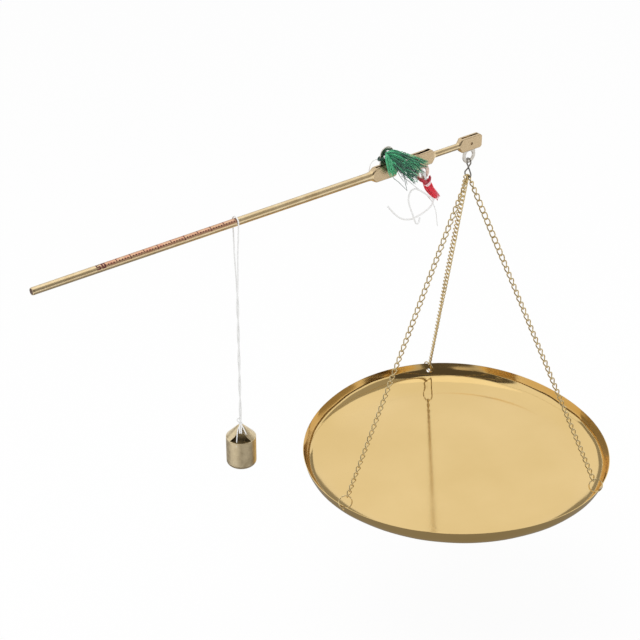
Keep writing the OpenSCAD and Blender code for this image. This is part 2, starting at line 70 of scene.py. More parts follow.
camera_place = Vector((-582.1, -678.2, 405.6)) * mm
camera_ahead = Vector((0.5355, 0.6807, -0.4999))
camera_up = Vector((0.3076, 0.3940, 0.8661))
camera_data = bpy.data.cameras.new("camera")
camera_data.sensor_width = 36
camera_data.lens = 95.6
camera_data.clip_start = 0.01
camera = put_in_scene("camera", camera_data)
camera_turn = Matrix((camera_ahead.cross(camera_up), camera_up, -camera_ahead)).transposed()
camera.matrix_world = Matrix.Translation(camera_place) @ camera_turn.to_4x4()
bpy.context.scene.camera = camera


# Loose white cords of the red tassel: three-ply cotton, cut off and left hanging.
# Each ply stands out a little along the twist, and a few fibres stick out of a cut end.
def smooth_line(points, steps):
    """A curve through the points, with that many steps from each point to the next."""
    line = []
    for i in range(len(points) - 1):
        a, b = points[max(i - 1, 0)], points[i]
        c, d = points[i + 1], points[min(i + 2, len(points) - 1)]
        for k in range(steps):
            t = k / steps
            line.append(0.5 * (2 * b + (c - a) * t + (2 * a - 5 * b + 4 * c - d) * t * t
                               + (3 * b - a - 3 * c + d) * t * t * t))
    return line + [points[-1]]


def frames_along(line, closed=False):
    """Two directions square to the line at each point, turned as little as can be from one to the next."""
    count = len(line)
    pairs = []
    across = None
    for i in range(count):
        if closed:
            ahead = line[(i + 1) % count] - line[i - 1]
        else:
            ahead = line[min(i + 1, count - 1)] - line[max(i - 1, 0)]
        ahead = ahead.normalized()
        if across is None:
            across = ahead.orthogonal().normalized()
        across = (across - ahead * across.dot(ahead)).normalized()
        pairs.append((across, ahead.cross(across)))
    return pairs


def band_faces(rows, sides, closed=False):
    """The faces between rows of corners round a piece; closed joins the last row to the first."""
    faces = []
    for i in range(rows if closed else rows - 1):
        j = (i + 1) % rows
        for k in range(sides):
            n = (k + 1) % sides
            faces.append((i * sides + k, i * sides + n, j * sides + n, j * sides + k))
    return faces


def end_faces(rows, sides):
    """The two flat ends of such a piece."""
    return [tuple(range(sides - 1, -1, -1)), tuple(range((rows - 1) * sides, rows * sides))]


def fit_to_frame(made, body, stands_for):
    """Ties an object to its body and hides the CAD node that it stands for."""
    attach(made, body)
    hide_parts(stands_for)


class Form:
    """The corners and faces of a piece while it is being made."""

    def __init__(self):
        self.corners = []
        self.faces = []
        self.kinds = []

    def add(self, corners, faces, kind=0):
        start = len(self.corners)
        self.corners += corners
        self.faces += [tuple(start + i for i in face) for face in faces]
        self.kinds += [kind] * len(faces)

    def tube(self, line, radius, sides, plies=0, lay=1.0, ply_depth=0.0, kind=0, phase=0.0, closed=False):
        """A round tube along a line; radius is a size, or a function of the share of the way."""
        count = len(line)
        rings = []
        gone = 0.0
        for i, (u, v) in enumerate(frames_along(line, closed)):
            if i:
                gone += (line[i] - line[i - 1]).length
            r = radius(i / (count - 1)) if callable(radius) else radius
            for k in range(sides):
                a = math.tau * k / sides
                wave = ply_depth * math.cos(plies * (a - math.tau * gone / lay) + phase) if plies else 0.0
                rings.append(line[i] + (r * (1 - ply_depth + wave)) * (math.cos(a) * u + math.sin(a) * v))
        faces = band_faces(count, sides, closed)
        self.add(rings, faces if closed else faces + end_faces(count, sides), kind)

    def piece(self, name, finishes, body, stands_for):
        mesh = bpy.data.meshes.new(name)
        mesh.from_pydata([tuple(c) for c in self.corners], [], self.faces)
        for finish in finishes:
            mesh.materials.append(finish)
        for face, kind in zip(mesh.polygons, self.kinds):
            face.material_index = kind
            face.use_smooth = True
        mesh.validate()
        made = put_in_scene(name, mesh)
        fit_to_frame(made, body, stands_for)
        return made


def shader_socket(finish, socket):
    return finish.node_tree.nodes["Principled BSDF"].inputs[socket]


def new_finish(name, colour, roughness, **sockets):
    """A material with its shader's own sockets set; the node calls after it add the detail."""
    finish = bpy.data.materials.new(name)
    finish.use_nodes = True
    shader_socket(finish, "Base Color").default_value = (*colour, 1)
    shader_socket(finish, "Roughness").default_value = roughness
    for socket, value in sockets.items():
        shader_socket(finish, socket.replace("_", " ")).default_value = value
    return finish


def node(finish, kind, sockets=None, output=0, **settings):
    """Adds a node and gives one of its outputs; sockets holds a value or an output for each input."""
    tree = finish.node_tree
    made = tree.nodes.new("ShaderNode" + kind)
    for key, value in settings.items():
        setattr(made, key, value)
    for key, value in (sockets or {}).items():
        if isinstance(value, bpy.types.NodeSocket):
            tree.links.new(value, made.inputs[key])
        else:
            made.inputs[key].default_value = value
    return made.outputs[output] if made.outputs else None


def noise(finish, scale, detail=3.0, roughness=0.5):
    """Noise over the piece's own space; scale is per metre along X, Y and Z."""
    place = node(finish, "TexCoord", output="Object")
    spread = node(finish, "Mapping", {"Vector": place, "Scale": scale}, "Vector")
    sockets = {"Vector": spread, "Scale": 1.0, "Detail": detail, "Roughness": roughness}
    return node(finish, "TexNoise", sockets, "Fac")


def ramp(finish, value, stops):
    """A colour ramp; stops are (place, colour) pairs."""
    made = node(finish, "ValToRGB", {"Fac": value}, "Color")
    band = made.node.color_ramp
    while len(band.elements) < len(stops):
        band.elements.new(0.5)
    for element, (place, colour) in zip(band.elements, stops):
        element.position = place
        element.color = (*colour, 1)
    return made


def feed(finish, source, socket):
    finish.node_tree.links.new(source, shader_socket(finish, socket))


def bump(finish, height, depth):
    """Bump of the given depth in metres."""
    feed(finish, node(finish, "Bump", {"Height": height, "Distance": depth}, "Normal"), "Normal")


def toned_finish(name, colour, roughness, scale, stops, depth=0.0, detail=2.0, fuzz=0, **sockets):
    """A material whose colour follows noise of the given scale through the ramp's stops.

    depth is its bump in metres, made by the same noise, or by noise of the scale fuzz where that is given.
    """
    finish = new_finish(name, colour, roughness, **sockets)
    tone = noise(finish, [scale] * 3, detail)
    feed(finish, ramp(finish, tone, stops), "Base Color")
    if depth:
        bump(finish, noise(finish, [fuzz] * 3, 2.0) if fuzz else tone, depth)
    return finish


cotton = toned_finish(
    "cotton", (0.84, 0.84, 0.83), 0.9, 5000, [(0.3, (0.74, 0.74, 0.73)), (0.7, (0.84, 0.84, 0.83))], 0.00005,
    Sheen_Weight=0.3, Sheen_Roughness=0.5)

cord_d = 0.9 * mm
thread_d = 0.5 * mm
long_cord_route = [
    (38, 0.5, -40.5), (36.6, 0.2, -43), (34.4, -0.3, -44.1), (32, -0.8, -44.8), (29.6, -1.1, -45.2),
    (27, -1.4, -45.7), (24.4, -1.4, -46.2), (21.8, -1.3, -46.6), (19, -1.2, -46.7), (16.4, -1, -46.3),
    (14, -1, -45.5), (11.8, -1, -44.3), (9.6, -1, -42.7), (7.6, -1, -40.9), (5.8, -1, -39),
    (4.2, -1, -37.2), (2.6, -1, -35.2), (1, -1, -33.2)]
curled_cord_route = [
    (36.8, -1.2, -38.9), (34.2, -1.9, -36.9), (31.4, -2.3, -34.7), (28.6, -2.6, -32.4), (25.8, -2.8, -30.2),
    (23.2, -2.9, -28.2), (20.8, -3, -26.8), (18.6, -3, -26.4), (16.6, -3, -27.2), (15.4, -3, -29.2),
    (15, -3, -31.8), (15.4, -3, -34.4), (16.4, -3, -37.4), (17.6, -3, -40.4), (18.8, -3, -43.4),
    (20, -3, -46.4), (21.2, -3, -49.2), (22.6, -3, -50.2), (23.9, -3, -49.2), (24.2, -3, -47)]
thread_route = [
    (9, -3, -15), (12, -3, -17.6), (15.6, -2.9, -20.8), (19.4, -2.6, -24.4), (23.2, -1.8, -27.8),
    (27.6, -0.9, -31.6), (32.4, 0.6, -35.6), (36, 2.6, -39), (38.4, 2.6, -42), (40.2, 2.6, -45.2),
    (41.8, 2.6, -48.8), (42.7, 2.6, -52.6), (43.3, 2.6, -56.4), (43.9, 2.6, -60.2)]
fray = random.Random(5)


def in_metres(route):
    return [Vector(p) * mm for p in route]


def frayed_end(form, line, diameter):
    """A few fibres that stick out of a cord's cut end."""
    end = line[-1]
    ahead = (end - line[-3]).normalized()
    for k in range(7):
        way = (ahead * 1.6 + Vector([fray.uniform(-1, 1) for _ in range(3)])).normalized()
        root = end - ahead * diameter * 0.3 + Vector([fray.uniform(-0.3, 0.3) for _ in range(3)]) * diameter
        tip = root + way * diameter * fray.uniform(0.7, 1.3)
        form.tube([root, root.lerp(tip, 0.5) + way.orthogonal() * 0.1 * diameter, tip], 0.06 * diameter, 4)


def cotton_cord(name, route, diameter, plies=3):
    line = smooth_line(in_metres(route), 12)
    form = Form()
    form.tube(line, 0.6 * diameter, 12, plies=plies, lay=3.6 * diameter, ply_depth=0.06)
    frayed_end(form, line, diameter)
    made = form.piece(name + "_cotton", [cotton], "inner_lift", name)


cotton_cord("long_cord", long_cord_route, cord_d)
cotton_cord("curled_cord", curled_cord_route, cord_d)
cotton_cord("thread", thread_route, thread_d, plies=2)

# The thin thread loop at the outer lifting plate: one thread that comes out of the green tie and drops
# behind the block.
loop_thread_route = [
    (-5.3, 1.8, -2), (-6.5, 2.5, -2.4), (-7.9, 3.1, -3.1), (-9.2, 3.2, -4.4), (-9.8, 3.3, -6.2),
    (-10.2, 3.4, -8.2), (-10.2, 3.4, -10)]
loop_line = smooth_line(in_metres(loop_thread_route), 12)
loop_form = Form()
loop_form.tube(loop_line, thread_d / 2, 10, plies=2, lay=2 * mm, ply_depth=0.09)
loop_form.piece("loop_thread_cotton", [cotton], "lift", "loop_thread")


# The beam: one brass rod, turned to a taper, with three flat blocks forged on it and filed to shape.
# Its sides run smoothly from the round arm into the first block. Each block is sawn through for its plate.
def middle(name):
    low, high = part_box(name)
    return (low + high) / 2


outer_pin = middle("outer_pin")
inner_pin = middle("inner_pin")
pan_pin = middle("pan_pin")
beam_low, beam_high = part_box("beam")
axis_z = pan_pin.z
block_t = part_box("pan_pin")[1].y
block_l = 2 * (beam_high.x - pan_pin.x)
block_h = beam_high.z - beam_low.z
tip_r = 2.1 * mm
root_r = 2.45 * mm
bridge_r = 2.05 * mm
neck_r = 1.9 * mm
slot_l = 13 * mm
slot_w = 1.3 * mm
edge_r = 0.45 * mm
bevel = 1 * mm
shoulder = 1.4 * mm
corner_steps = 7


def brass_section(x, half_h, half_t, corner):
    """One section of the beam: a rounded rectangle, or a circle where the corner takes up the halves."""
    corner = min(corner, half_h - 0.005 * mm, half_t - 0.005 * mm)
    ring = []
    for quarter, (sy, sz) in enumerate(((1, 1), (-1, 1), (-1, -1), (1, -1))):
        for k in range(corner_steps + 1):
            a = math.radians(90 * (quarter + k / corner_steps))
            ring.append(Vector((x, sy * (half_t - corner) + corner * math.cos(a),
                                axis_z + sz * (half_h - corner) + corner * math.sin(a))))
    return ring


def eased(stations, rounding, steps=5):
    """Rounds each corner in a row of (x, half_h, half_t, corner) stations."""
    row = [stations[0]]
    for before, here, after in zip(stations, stations[1:], stations[2:]):
        h0, h1, h2 = Vector(before), Vector(here), Vector(after)
        near = min(rounding, 0.45 * abs(h1[0] - h0[0]))
        far = min(rounding, 0.45 * abs(h2[0] - h1[0]))
        a = h1.lerp(h0, near / max(abs(h1[0] - h0[0]), 1e-9))
        b = h1.lerp(h2, far / max(abs(h2[0] - h1[0]), 1e-9))
        for k in range(steps + 1):
            t = k / steps
            row.append(tuple((1 - t) * (1 - t) * a + 2 * t * (1 - t) * h1 + t * t * b))
    return row + [stations[-1]]


def block_side(x, away, bar_r):
    """The stations from a block's flat face to a bar; away is 1 on the block's right and -1 on its left."""
    return [(x - away * bevel, block_h / 2, block_t, edge_r),
            (x, block_h / 2 - bevel, min(block_t, bar_r + 0.4 * mm), 0.8 * bar_r),
            (x + away * shoulder, bar_r, bar_r, bar_r)]


def block_stations(pin_x, left_r, right_r, flare=0.0):
    """The stations of one block, from the bar on its left to the bar, or the bare end, on its right."""
    start, end = pin_x - block_l / 2, pin_x + block_l / 2
    left = block_side(start, -1, left_r)[::-1]
    if flare:
        left[:2] = [(start - flare, left_r, left_r, left_r),
                    (start - 0.4 * flare, 1.1 * left_r, 0.96 * left_r, 0.9 * left_r)]
    right = block_side(end, 1, right_r)
    if not right_r:
        right[1:] = [(end, block_h / 2 - bevel, block_t, edge_r)]
    return left + right


def cutter(name, low, high):
    """A box that saws a slot."""
    form = Form()
    xs, ys, zs = zip(low, high)
    corners = [Vector((x, y, z)) for x in xs for y in ys for z in zs]
    form.add(corners, [(0, 1, 3, 2), (4, 6, 7, 5), (0, 4, 5, 1), (2, 3, 7, 6), (0, 2, 6, 4), (1, 5, 7, 3)])
    return loose_object(name, form)


def loose_object(name, form):
    """An object for cutting with, which is taken away afterwards."""
    mesh = bpy.data.meshes.new(name)
    mesh.from_pydata([tuple(c) for c in form.corners], [], form.faces)
    return put_in_scene(name, mesh)


def drill(name, middle_point, reach_each_way, radius):
    """A rod that drills a hole."""
    form = Form()
    form.tube([middle_point - reach_each_way, middle_point + reach_each_way], radius, 32)
    return loose_object(name, form)


def cut(target, tools):
    """Takes the tools out of the target's mesh for good."""
    for tool in tools:
        change = target.modifiers.new("cut", "BOOLEAN")
        change.operation = "DIFFERENCE"
        change.solver = "EXACT"
        change.object = tool
    settle(target)
    for tool in tools:
        bpy.data.objects.remove(tool)


def applied_mesh(target):
    """A mesh of what an object's modifiers or its curve give."""
    bpy.context.view_layer.update()
    graph = bpy.context.evaluated_depsgraph_get()
    return bpy.data.meshes.new_from_object(target.evaluated_get(graph))


def settle(target):
    """Puts the result of an object's modifiers into its mesh."""
    result = applied_mesh(target)
    target.modifiers.clear()
    old = target.data
    target.data = result
    bpy.data.meshes.remove(old)


def weld(target):
    """Joins the corners that lie in the same place."""
    target.modifiers.new("weld", "WELD").merge_threshold = 0.001 * mm


def even_normals(target):
    target.modifiers.new("even normals", "WEIGHTED_NORMAL").keep_sharp = True


def soften(target, width, angle=50):
    """Breaks the edges of a piece that are sharper than the angle, by a small width."""
    bevel = target.modifiers.new("broken edges", "BEVEL")
    bevel.width = width
    bevel.segments = 2
    bevel.limit_method = "ANGLE"
    bevel.angle_limit = math.radians(angle)
    bevel.harden_normals = False
    even_normals(target)


def remapped(finish, value, low, high, least, most):
    """Carries a value between low and high over to between least and most."""
    return node(finish, "MapRange", {"Value": value, 1: low, 2: high, 3: least, 4: most})


def brass_finish(name, bright, dull, rough, stroke, marks=0.000004, mottle=120.0):
    """Brass of two tones; stroke is the scale of its scratches per metre along X, Y and Z."""
    finish = new_finish(name, bright, rough[0], Metallic=1.0)
    cloud = noise(finish, (mottle, mottle, mottle), 4.0, 0.6)
    scratches = noise(finish, stroke, 3.0, 0.6)
    both = node(finish, "Mix", {0: 0.35, 2: cloud, 3: scratches})
    feed(finish, ramp(finish, both, [(0.35, dull), (0.62, bright)]), "Base Color")
    feed(finish, remapped(finish, both, 0.3, 0.7, *rough), "Roughness")
    bump(finish, scratches, marks)
    return finish


rod_brass = brass_finish(
    "rod_brass", (0.88, 0.72, 0.46), (0.72, 0.54, 0.30), (0.22, 0.32), (60, 2600, 2600))
block_brass = brass_finish(
    "block_brass", (0.74, 0.58, 0.37), (0.60, 0.45, 0.27), (0.34, 0.48), (900, 900, 900), 0.00002, 700.0)
# The flat end face at the tip is dark brown.
dark_tip_face = toned_finish(
    "dark_tip_brass", (0.12, 0.07, 0.045), 0.55, 2500,
    [(0.35, (0.07, 0.04, 0.03)), (0.7, (0.22, 0.13, 0.08))], detail=3.0, Metallic=0.7)

flare_l = 5 * mm
end_bevel = 0.35 * mm
stations = [(beam_low.x, tip_r - end_bevel, tip_r - end_bevel, tip_r),
            (beam_low.x + end_bevel, tip_r, tip_r, tip_r)]
stations += block_stations(outer_pin.x, root_r, bridge_r, flare_l)
stations += block_stations(inner_pin.x, bridge_r, neck_r)
stations += block_stations(pan_pin.x, neck_r, 0)
beam_form = Form()
rings = [brass_section(*s) for s in eased(stations, 0.7 * mm)]
ring_size = len(rings[0])
pin_places = (outer_pin, inner_pin, pan_pin)
block_ends = [(p.x - block_l / 2 - 0.3 * flare_l, p.x + block_l / 2 + 0.2 * mm) for p in pin_places]
beam_form.add([corner for ring in rings for corner in ring], band_faces(len(rings), ring_size))
for face in range(len(beam_form.faces)):
    x = rings[face // ring_size][0].x
    beam_form.kinds[face] = 1 if any(low < x < high for low, high in block_ends) else 0
beam_form.add(list(rings[0]), [tuple(range(ring_size - 1, -1, -1))], 2)
beam_form.add(list(rings[-1]), [tuple(range(ring_size))], 1)
beam = beam_form.piece("beam_brass_rod", [rod_brass, block_brass, dark_tip_face], "beam", "beam")
weld(beam)
settle(beam)
pin_r = 0.8 * mm
pin_gap = 0.07 * mm
saws = []
for p in pin_places:
    saws.append(cutter("slot", (p.x - slot_l / 2, -slot_w / 2, axis_z - block_h),
                       (p.x + slot_l / 2, slot_w / 2, axis_z + block_h)))
    saws.append(drill("pin_hole", p, Vector((0, 2 * block_t, 0)), pin_r + pin_gap))
cut(beam, saws)
soften(beam, 0.1 * mm)

# The three cross pins: brass wire, driven through the blocks and filed off a little short of their faces.
# Their ends are darker than the blocks, because oil and dirt stay in the rim round them.
pin_brass = brass_finish(
    "pin_brass", (0.42, 0.28, 0.15), (0.22, 0.13, 0.07), (0.4, 0.6), (1500, 1500, 1500), 0.00003, 1500.0)
pin_end = block_t - 0.12 * mm
pin_bevel = 0.1 * mm
for name, at in zip(("outer_pin", "inner_pin", "pan_pin"), pin_places):
    form = Form()
    line = [at + Vector((0, y, 0)) for y in (-pin_end, -pin_end + pin_bevel, pin_end - pin_bevel, pin_end)]
    form.tube(line, lambda t: pin_r - (pin_bevel if t in (0, 1) else 0), 24)
    pin = form.piece(name + "_wire", [pin_brass], "beam", name)
    soften(pin, 0.05 * mm)

# The scales: dots and short arcs punched into the arm, filled with red lacquer that stands a little proud.
# Wiping the lacquer off has left a pink wash on the arm's upper side, all along the fine scale.
lacquer = toned_finish(
    "red_lacquer", (0.16, 0.018, 0.014), 0.5, 3000,
    [(0.35, (0.05, 0.008, 0.008)), (0.6, (0.13, 0.016, 0.015)), (0.85, (0.20, 0.05, 0.035))],
    0.00002, detail=3.0)
zero_arm = 105.5 * mm
fine_step = 1.7 * mm
fine_steps = 50
coarse_step = 4.9 * mm
coarse_first = 27.2 * mm
coarse_steps = 40
dot_angle = 50
dot_r = 0.52 * mm
arc_w = 0.62 * mm
proud = 0.05 * mm
arm_foot = outer_pin.x - block_l / 2 - flare_l


def arm_point(s, up, out):
    """A place over the arm, s to the left of the outer pin and up in degrees above its front line."""
    x = outer_pin.x - s
    r = tip_r + (root_r - tip_r) * (x - beam_low.x) / (arm_foot - beam_low.x) + out
    return Vector((x, -r * math.cos(math.radians(up)), axis_z + r * math.sin(math.radians(up))))


def dot(form, s, up, across=0.0):
    """A drop of lacquer; across shifts it round the arm."""
    around = math.degrees(1 / root_r)
    corners = [arm_point(s, up + across * around, proud)]
    sides = 12
    for out, share in ((0.6 * proud, 0.7), (-0.4 * proud, 1.0)):
        for k in range(sides):
            a = math.tau * k / sides
            turn = up + (across + share * dot_r * math.sin(a)) * around
            corners.append(arm_point(s + share * dot_r * math.cos(a), turn, out))
    faces = [(0, 1 + k, 1 + (k + 1) % sides) for k in range(sides)]
    for k in range(sides):
        n = (k + 1) % sides
        faces.append((1 + k, 1 + sides + k, 1 + sides + n, 1 + n))
    form.add(corners, faces)


def arc_mark(form, s, low, high):
    """A short arc of lacquer between two angles, narrower at its ends."""
    steps = 20
    corners = []
    for k in range(steps + 1):
        up = low + (high - low) * k / steps
        half = (0.5 if k in (0, steps) else 1.0) * arc_w / 2
        for share, out in ((-1, -0.4 * proud), (-0.5, proud), (0.5, proud), (1, -0.4 * proud)):
            corners.append(arm_point(s + share * half, up, out))
    faces = [(i, i + 1, i + 5, i + 4) for k in range(steps) for i in range(4 * k, 4 * k + 3)]
    form.add(corners, faces)


fine = Form()
for k in range(fine_steps + 1):
    s = zero_arm + k * fine_step
    if k % 10 == 0:
        arc_mark(fine, s, 14, 108)
    elif k % 5 == 0:
        arc_mark(fine, s, dot_angle - 6, 100)
    else:
        dot(fine, s, dot_angle)
# The number beside the last mark is the count of the marks, 50, punched in small dots
five = ("111", "100", "111", "001", "111")
nought = ("111", "101", "101", "101", "111")
last_mark = zero_arm + fine_steps * fine_step
for place, digit in enumerate((five, nought)):
    for row, bits in enumerate(digit):
        for column, bit in enumerate(bits):
            if bit == "1":
                s = last_mark + (3.4 - 3.1 * place - 0.8 * column) * mm
                dot(fine, s, dot_angle + 6, (1.5 - 0.75 * row) * mm)
fine.piece("fine_scale_lacquer", [lacquer], "beam", "fine_scale")
coarse = Form()
for k in range(coarse_steps + 1):
    s = coarse_first + k * coarse_step
    if k % 5 == 0:
        arc_mark(coarse, s, 194, 288)
    else:
        dot(coarse, s, 180 + dot_angle)
coarse.piece("coarse_scale_lacquer", [lacquer], "beam", "coarse_scale")


def product(finish, a, b):
    return node(finish, "Math", {0: a, 1: b}, operation="MULTIPLY")


spot = node(rod_brass, "SeparateXYZ", {0: node(rod_brass, "TexCoord", output="Object")}).node.outputs
mark_x = outer_pin.x - zero_arm
wash = remapped(rod_brass, spot[0], mark_x + 1.2 * mm, mark_x - 0.6 * mm, 0.0, 1.0)
wash_end = remapped(rod_brass, spot[0], mark_x - 87.5 * mm, mark_x - 85.5 * mm, 0.0, 1.0)
wash_side = remapped(rod_brass, spot[2], axis_z + 0.2 * mm, axis_z + 1.3 * mm, 0.0, 1.0)
wiped = remapped(rod_brass, noise(rod_brass, (300, 900, 900)), 0.3, 0.7, 0.30, 0.80)
for share in (wash_end, wash_side, wiped):
    wash = product(rod_brass, wash, share)
bare = shader_socket(rod_brass, "Base Color").links[0].from_socket
tinted = node(rod_brass, "Mix", {0: wash, 6: bare, 7: (0.70, 0.28, 0.20, 1)}, 2, data_type="RGBA")
feed(rod_brass, tinted, "Base Color")

# The three hanging plates: blanked from thin white metal, each with a hole for its pin and an eye.
# Tumbling has left them satin, with round edges.
plate_t = 0.8 * mm
head_r = 5 * mm
tail_r = 3.5 * mm
eye_r = 2.7 * mm
pin_hole_r = 0.88 * mm
reach = 8.2 * mm
plate_metal = toned_finish(
    "tumbled_plate", (0.66, 0.63, 0.58), 0.32, 1400, [(0.3, (0.56, 0.51, 0.44)), (0.65, (0.74, 0.71, 0.66))],
    0.00001, detail=4.0, Metallic=1.0)
stained = toned_finish(
    "stained_plate", (0.78, 0.62, 0.54), 0.36, 900, [(0.3, (0.62, 0.36, 0.28)), (0.6, (0.80, 0.66, 0.58))],
    0.00001, detail=4.0, Metallic=1.0)
outer_lean = math.radians(12)
inner_lean = math.radians(10)


def circle(z, r):
    """A circle's points, run clockwise so that it becomes a hole."""
    return [(r * math.cos(math.tau * k / 96), z - r * math.sin(math.tau * k / 96)) for k in range(96)]


def plate(name, body, pin, turn, finish):
    """Makes one plate; turn is its angle about Y, with its eye straight up at 0."""
    flank = math.asin((head_r - tail_r) / reach)
    head = (reach, head_r, -flank, math.pi + 2 * flank)
    tail = (0.0, tail_r, math.pi + flank, math.pi - 2 * flank)
    outline = []
    for middle_z, r, first, swept in (head, tail):
        for k in range(96):
            a = first + swept * k / 95
            outline.append((r * math.cos(a), middle_z + r * math.sin(a)))
    edge = 0.16 * mm
    curve = bpy.data.curves.new(name, "CURVE")
    curve.dimensions = "2D"
    curve.fill_mode = "BOTH"
    curve.extrude = plate_t / 2 - edge
    curve.bevel_depth = edge
    curve.bevel_resolution = 2
    curve.offset = -edge
    for points in (outline, circle(0, pin_hole_r), circle(reach, eye_r)):
        spline = curve.splines.new("POLY")
        spline.points.add(len(points) - 1)
        for spot, (px, pz) in zip(spline.points, points):
            spot.co = (px, pz, 0, 1)
        spline.use_cyclic_u = True
    drawn = put_in_scene(name + "_sheet", curve)
    mesh = applied_mesh(drawn)
    bpy.data.objects.remove(drawn)
    upright = Matrix.Rotation(turn, 4, "Y") @ Matrix.Rotation(math.pi / 2, 4, "X")
    mesh.transform(Matrix.Translation(pin) @ upright)
    mesh.materials.clear()
    mesh.materials.append(finish)
    for face in mesh.polygons:
        face.use_smooth = True
    made = put_in_scene(name + "_sheet", mesh)
    weld(made)
    even_normals(made)
    fit_to_frame(made, body, name)


plate("outer_plate", "lift", outer_pin, outer_lean, plate_metal)
plate("inner_plate", "inner_lift", inner_pin, math.pi - inner_lean, stained)
plate("pan_plate", "end_plate", pan_pin, math.pi, plate_metal)

# The hanger link: one piece of dark steel wire bent to a figure of eight.
# Its upper loop hangs in the pan plate's eye, and its lower loop carries the three chains.
hanger_low, hanger_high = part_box("hanger_link")
wire_r = 0.45 * mm
upper_r = 2.05 * mm
lower_half = 2.55 * mm
lower_corner = 1.1 * mm
upper_h = 7.4 * mm
dark_steel = toned_finish(
    "dark_steel", (0.16, 0.16, 0.17), 0.34, 1600, [(0.35, (0.20, 0.19, 0.17)), (0.7, (0.46, 0.43, 0.38))],
    0.00001, detail=3.0, Metallic=1.0)


def figure_of_eight():
    """The wire's middle line; its second half is the first turned half round about the upright."""
    top = hanger_high.z - wire_r
    low = hanger_low.z + wire_r
    cross = hanger_high.z - upper_h + 0.4 * mm
    line = []
    arc = 14
    for k in range(arc + 1):
        a = math.radians(90 - 115 * k / arc)
        line.append((0.0, upper_r * math.cos(a), top - upper_r + upper_r * math.sin(a)))
    line += [(0.25 * mm, 0.9 * mm, cross + 1.9 * mm), (0.5 * mm, 0.0, cross),
             (0.3 * mm, -1.2 * mm, cross - 1.4 * mm), (0.0, -lower_half, cross - 3.0 * mm),
             (0.0, -lower_half, low + lower_corner)]
    for k in range(1, 6):
        a = math.radians(180 + 90 * k / 5)
        line.append((0.0, -lower_half + lower_corner + lower_corner * math.cos(a),
                     low + lower_corner + lower_corner * math.sin(a)))
    half = [Vector(p) for p in line]
    other = [Vector((-p.x, -p.y, p.z)) for p in reversed(half)]
    return [p + Vector((pan_pin.x, 0, 0)) for p in half + other[:-1]]


hanger_form = Form()
hanger_form.tube(smooth_line(figure_of_eight(), 4)[:-1], wire_r, 14, closed=True)
hanger_form.piece("hanger_wire", [dark_steel], "hanger", "hanger_link")

# The chains: gilt curb chain, each link bent a quarter turn from end to end so that the row lies flat.
# Each whole chain turns slowly on the way down from the hanger link to its ring.
gilt = brass_finish(
    "gilt_wire", (0.90, 0.74, 0.43), (0.58, 0.44, 0.20), (0.12, 0.24), (1800, 1800, 1800), 0.000006, 300.0)
link_l = 5.55 * mm
link_w = 3.8 * mm
link_wire = 0.8 * mm
link_play = 0.05 * mm
chain_links = 52
hanger_bar_z = hanger_low.z + wire_r
pan_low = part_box("pan")[0]
pan_r = 100.4 * mm
pan_depth = 12.9 * mm
sheet_t = 0.347 * mm
wall_angle = math.radians(76)
lobe_height = 2.1 * mm
lobe_turn = math.radians(55.5)
hole_drops = (3 * mm, 3 * mm, 5 * mm)
hole_lobe_share = 0.93
ring_wire = 0.8 * mm
ring_r = 4.3 * mm
ring_seat = 0.1 * mm
chain_names = ("left", "right", "rear")
chain_angles = [math.radians(a) for a in (184.4, 292.4, 58.5)]
chain_places = (0, -1.2 * mm, 1.2 * mm)
ring_turns = [math.radians(a) for a in (-33, 33, 35)]
# How each chain lies: the hand of its links, the turn in degrees at which its flat side faces the front
# left, and how far it is turned from that at some of its links
lies = (
    (-1, 52.6, [(0, -80), (7, -40), (22, -34), (30, -52), (51, -62)]),
    (-1, 148.3, [(0, -72), (5, -10), (10, -5), (16, -48), (46, -52), (51, -42)]),
    (1, 106.8, [(0, 0), (10, 22), (24, 30), (36, 68), (51, 80)]))


def lobe(turn, share):
    """How far the pan's edge stands out of round, which fades from the lip to the floor."""
    return lobe_height * math.cos(3 * (turn - lobe_turn)) * min(1.0, max(0.0, share)) ** 2


def by_pan(r, a, z):
    """A place at a distance from the pan's axis, at an angle round it."""
    return Vector((pan_pin.x + r * math.cos(a), r * math.sin(a), z))


def hole_of(i):
    """The middle of the wall where a ring goes through it."""
    rise, run = math.sin(wall_angle), math.cos(wall_angle)
    r = pan_r + lobe(chain_angles[i], hole_lobe_share) - hole_drops[i] * run - sheet_t / 2 * rise
    return by_pan(r, chain_angles[i], pan_low.z + pan_depth - hole_drops[i] * rise + sheet_t / 2 * run)


def hook_of(i):
    return Vector((pan_pin.x, chain_places[i], hanger_bar_z))


def facing(way):
    """The turn that puts +Z along way and keeps +X in the upright plane that holds it."""
    lean = math.acos(way.z / way.length)
    return Matrix.Rotation(math.atan2(way.y, way.x), 3, "Z") @ Matrix.Rotation(lean, 3, "Y")


def link_line(length, width, quarter):
    """The middle line of a curb link along Z, whose plane turns by a quarter from one end to the other."""
    r = (width - link_wire) / 2
    leg = length - link_wire - 2 * r
    line = []
    arc = 10
    for side in (1, -1):
        for k in range(arc + 1):
            a = math.pi * k / arc
            line.append((side * r * math.cos(a), side * (leg / 2 + r * math.sin(a))))
        line.append((-side * r, side * leg / 6))
        line.append((-side * r, -side * leg / 6))
    reach_z = leg / 2 + r
    result = []
    for x, z in line:
        a = quarter / 2 * z / reach_z
        result.append(Vector((x * math.cos(a), x * math.sin(a), z)))
    return result


def turn_at(stops, k):
    """The value at k on the way through a row of (place, value) stops, eased at each."""
    for (a, low), (b, high) in zip(stops, stops[1:]):
        if k <= b:
            t = (k - a) / (b - a)
            return low + (high - low) * t * t * (3 - 2 * t)
    return stops[-1][1]


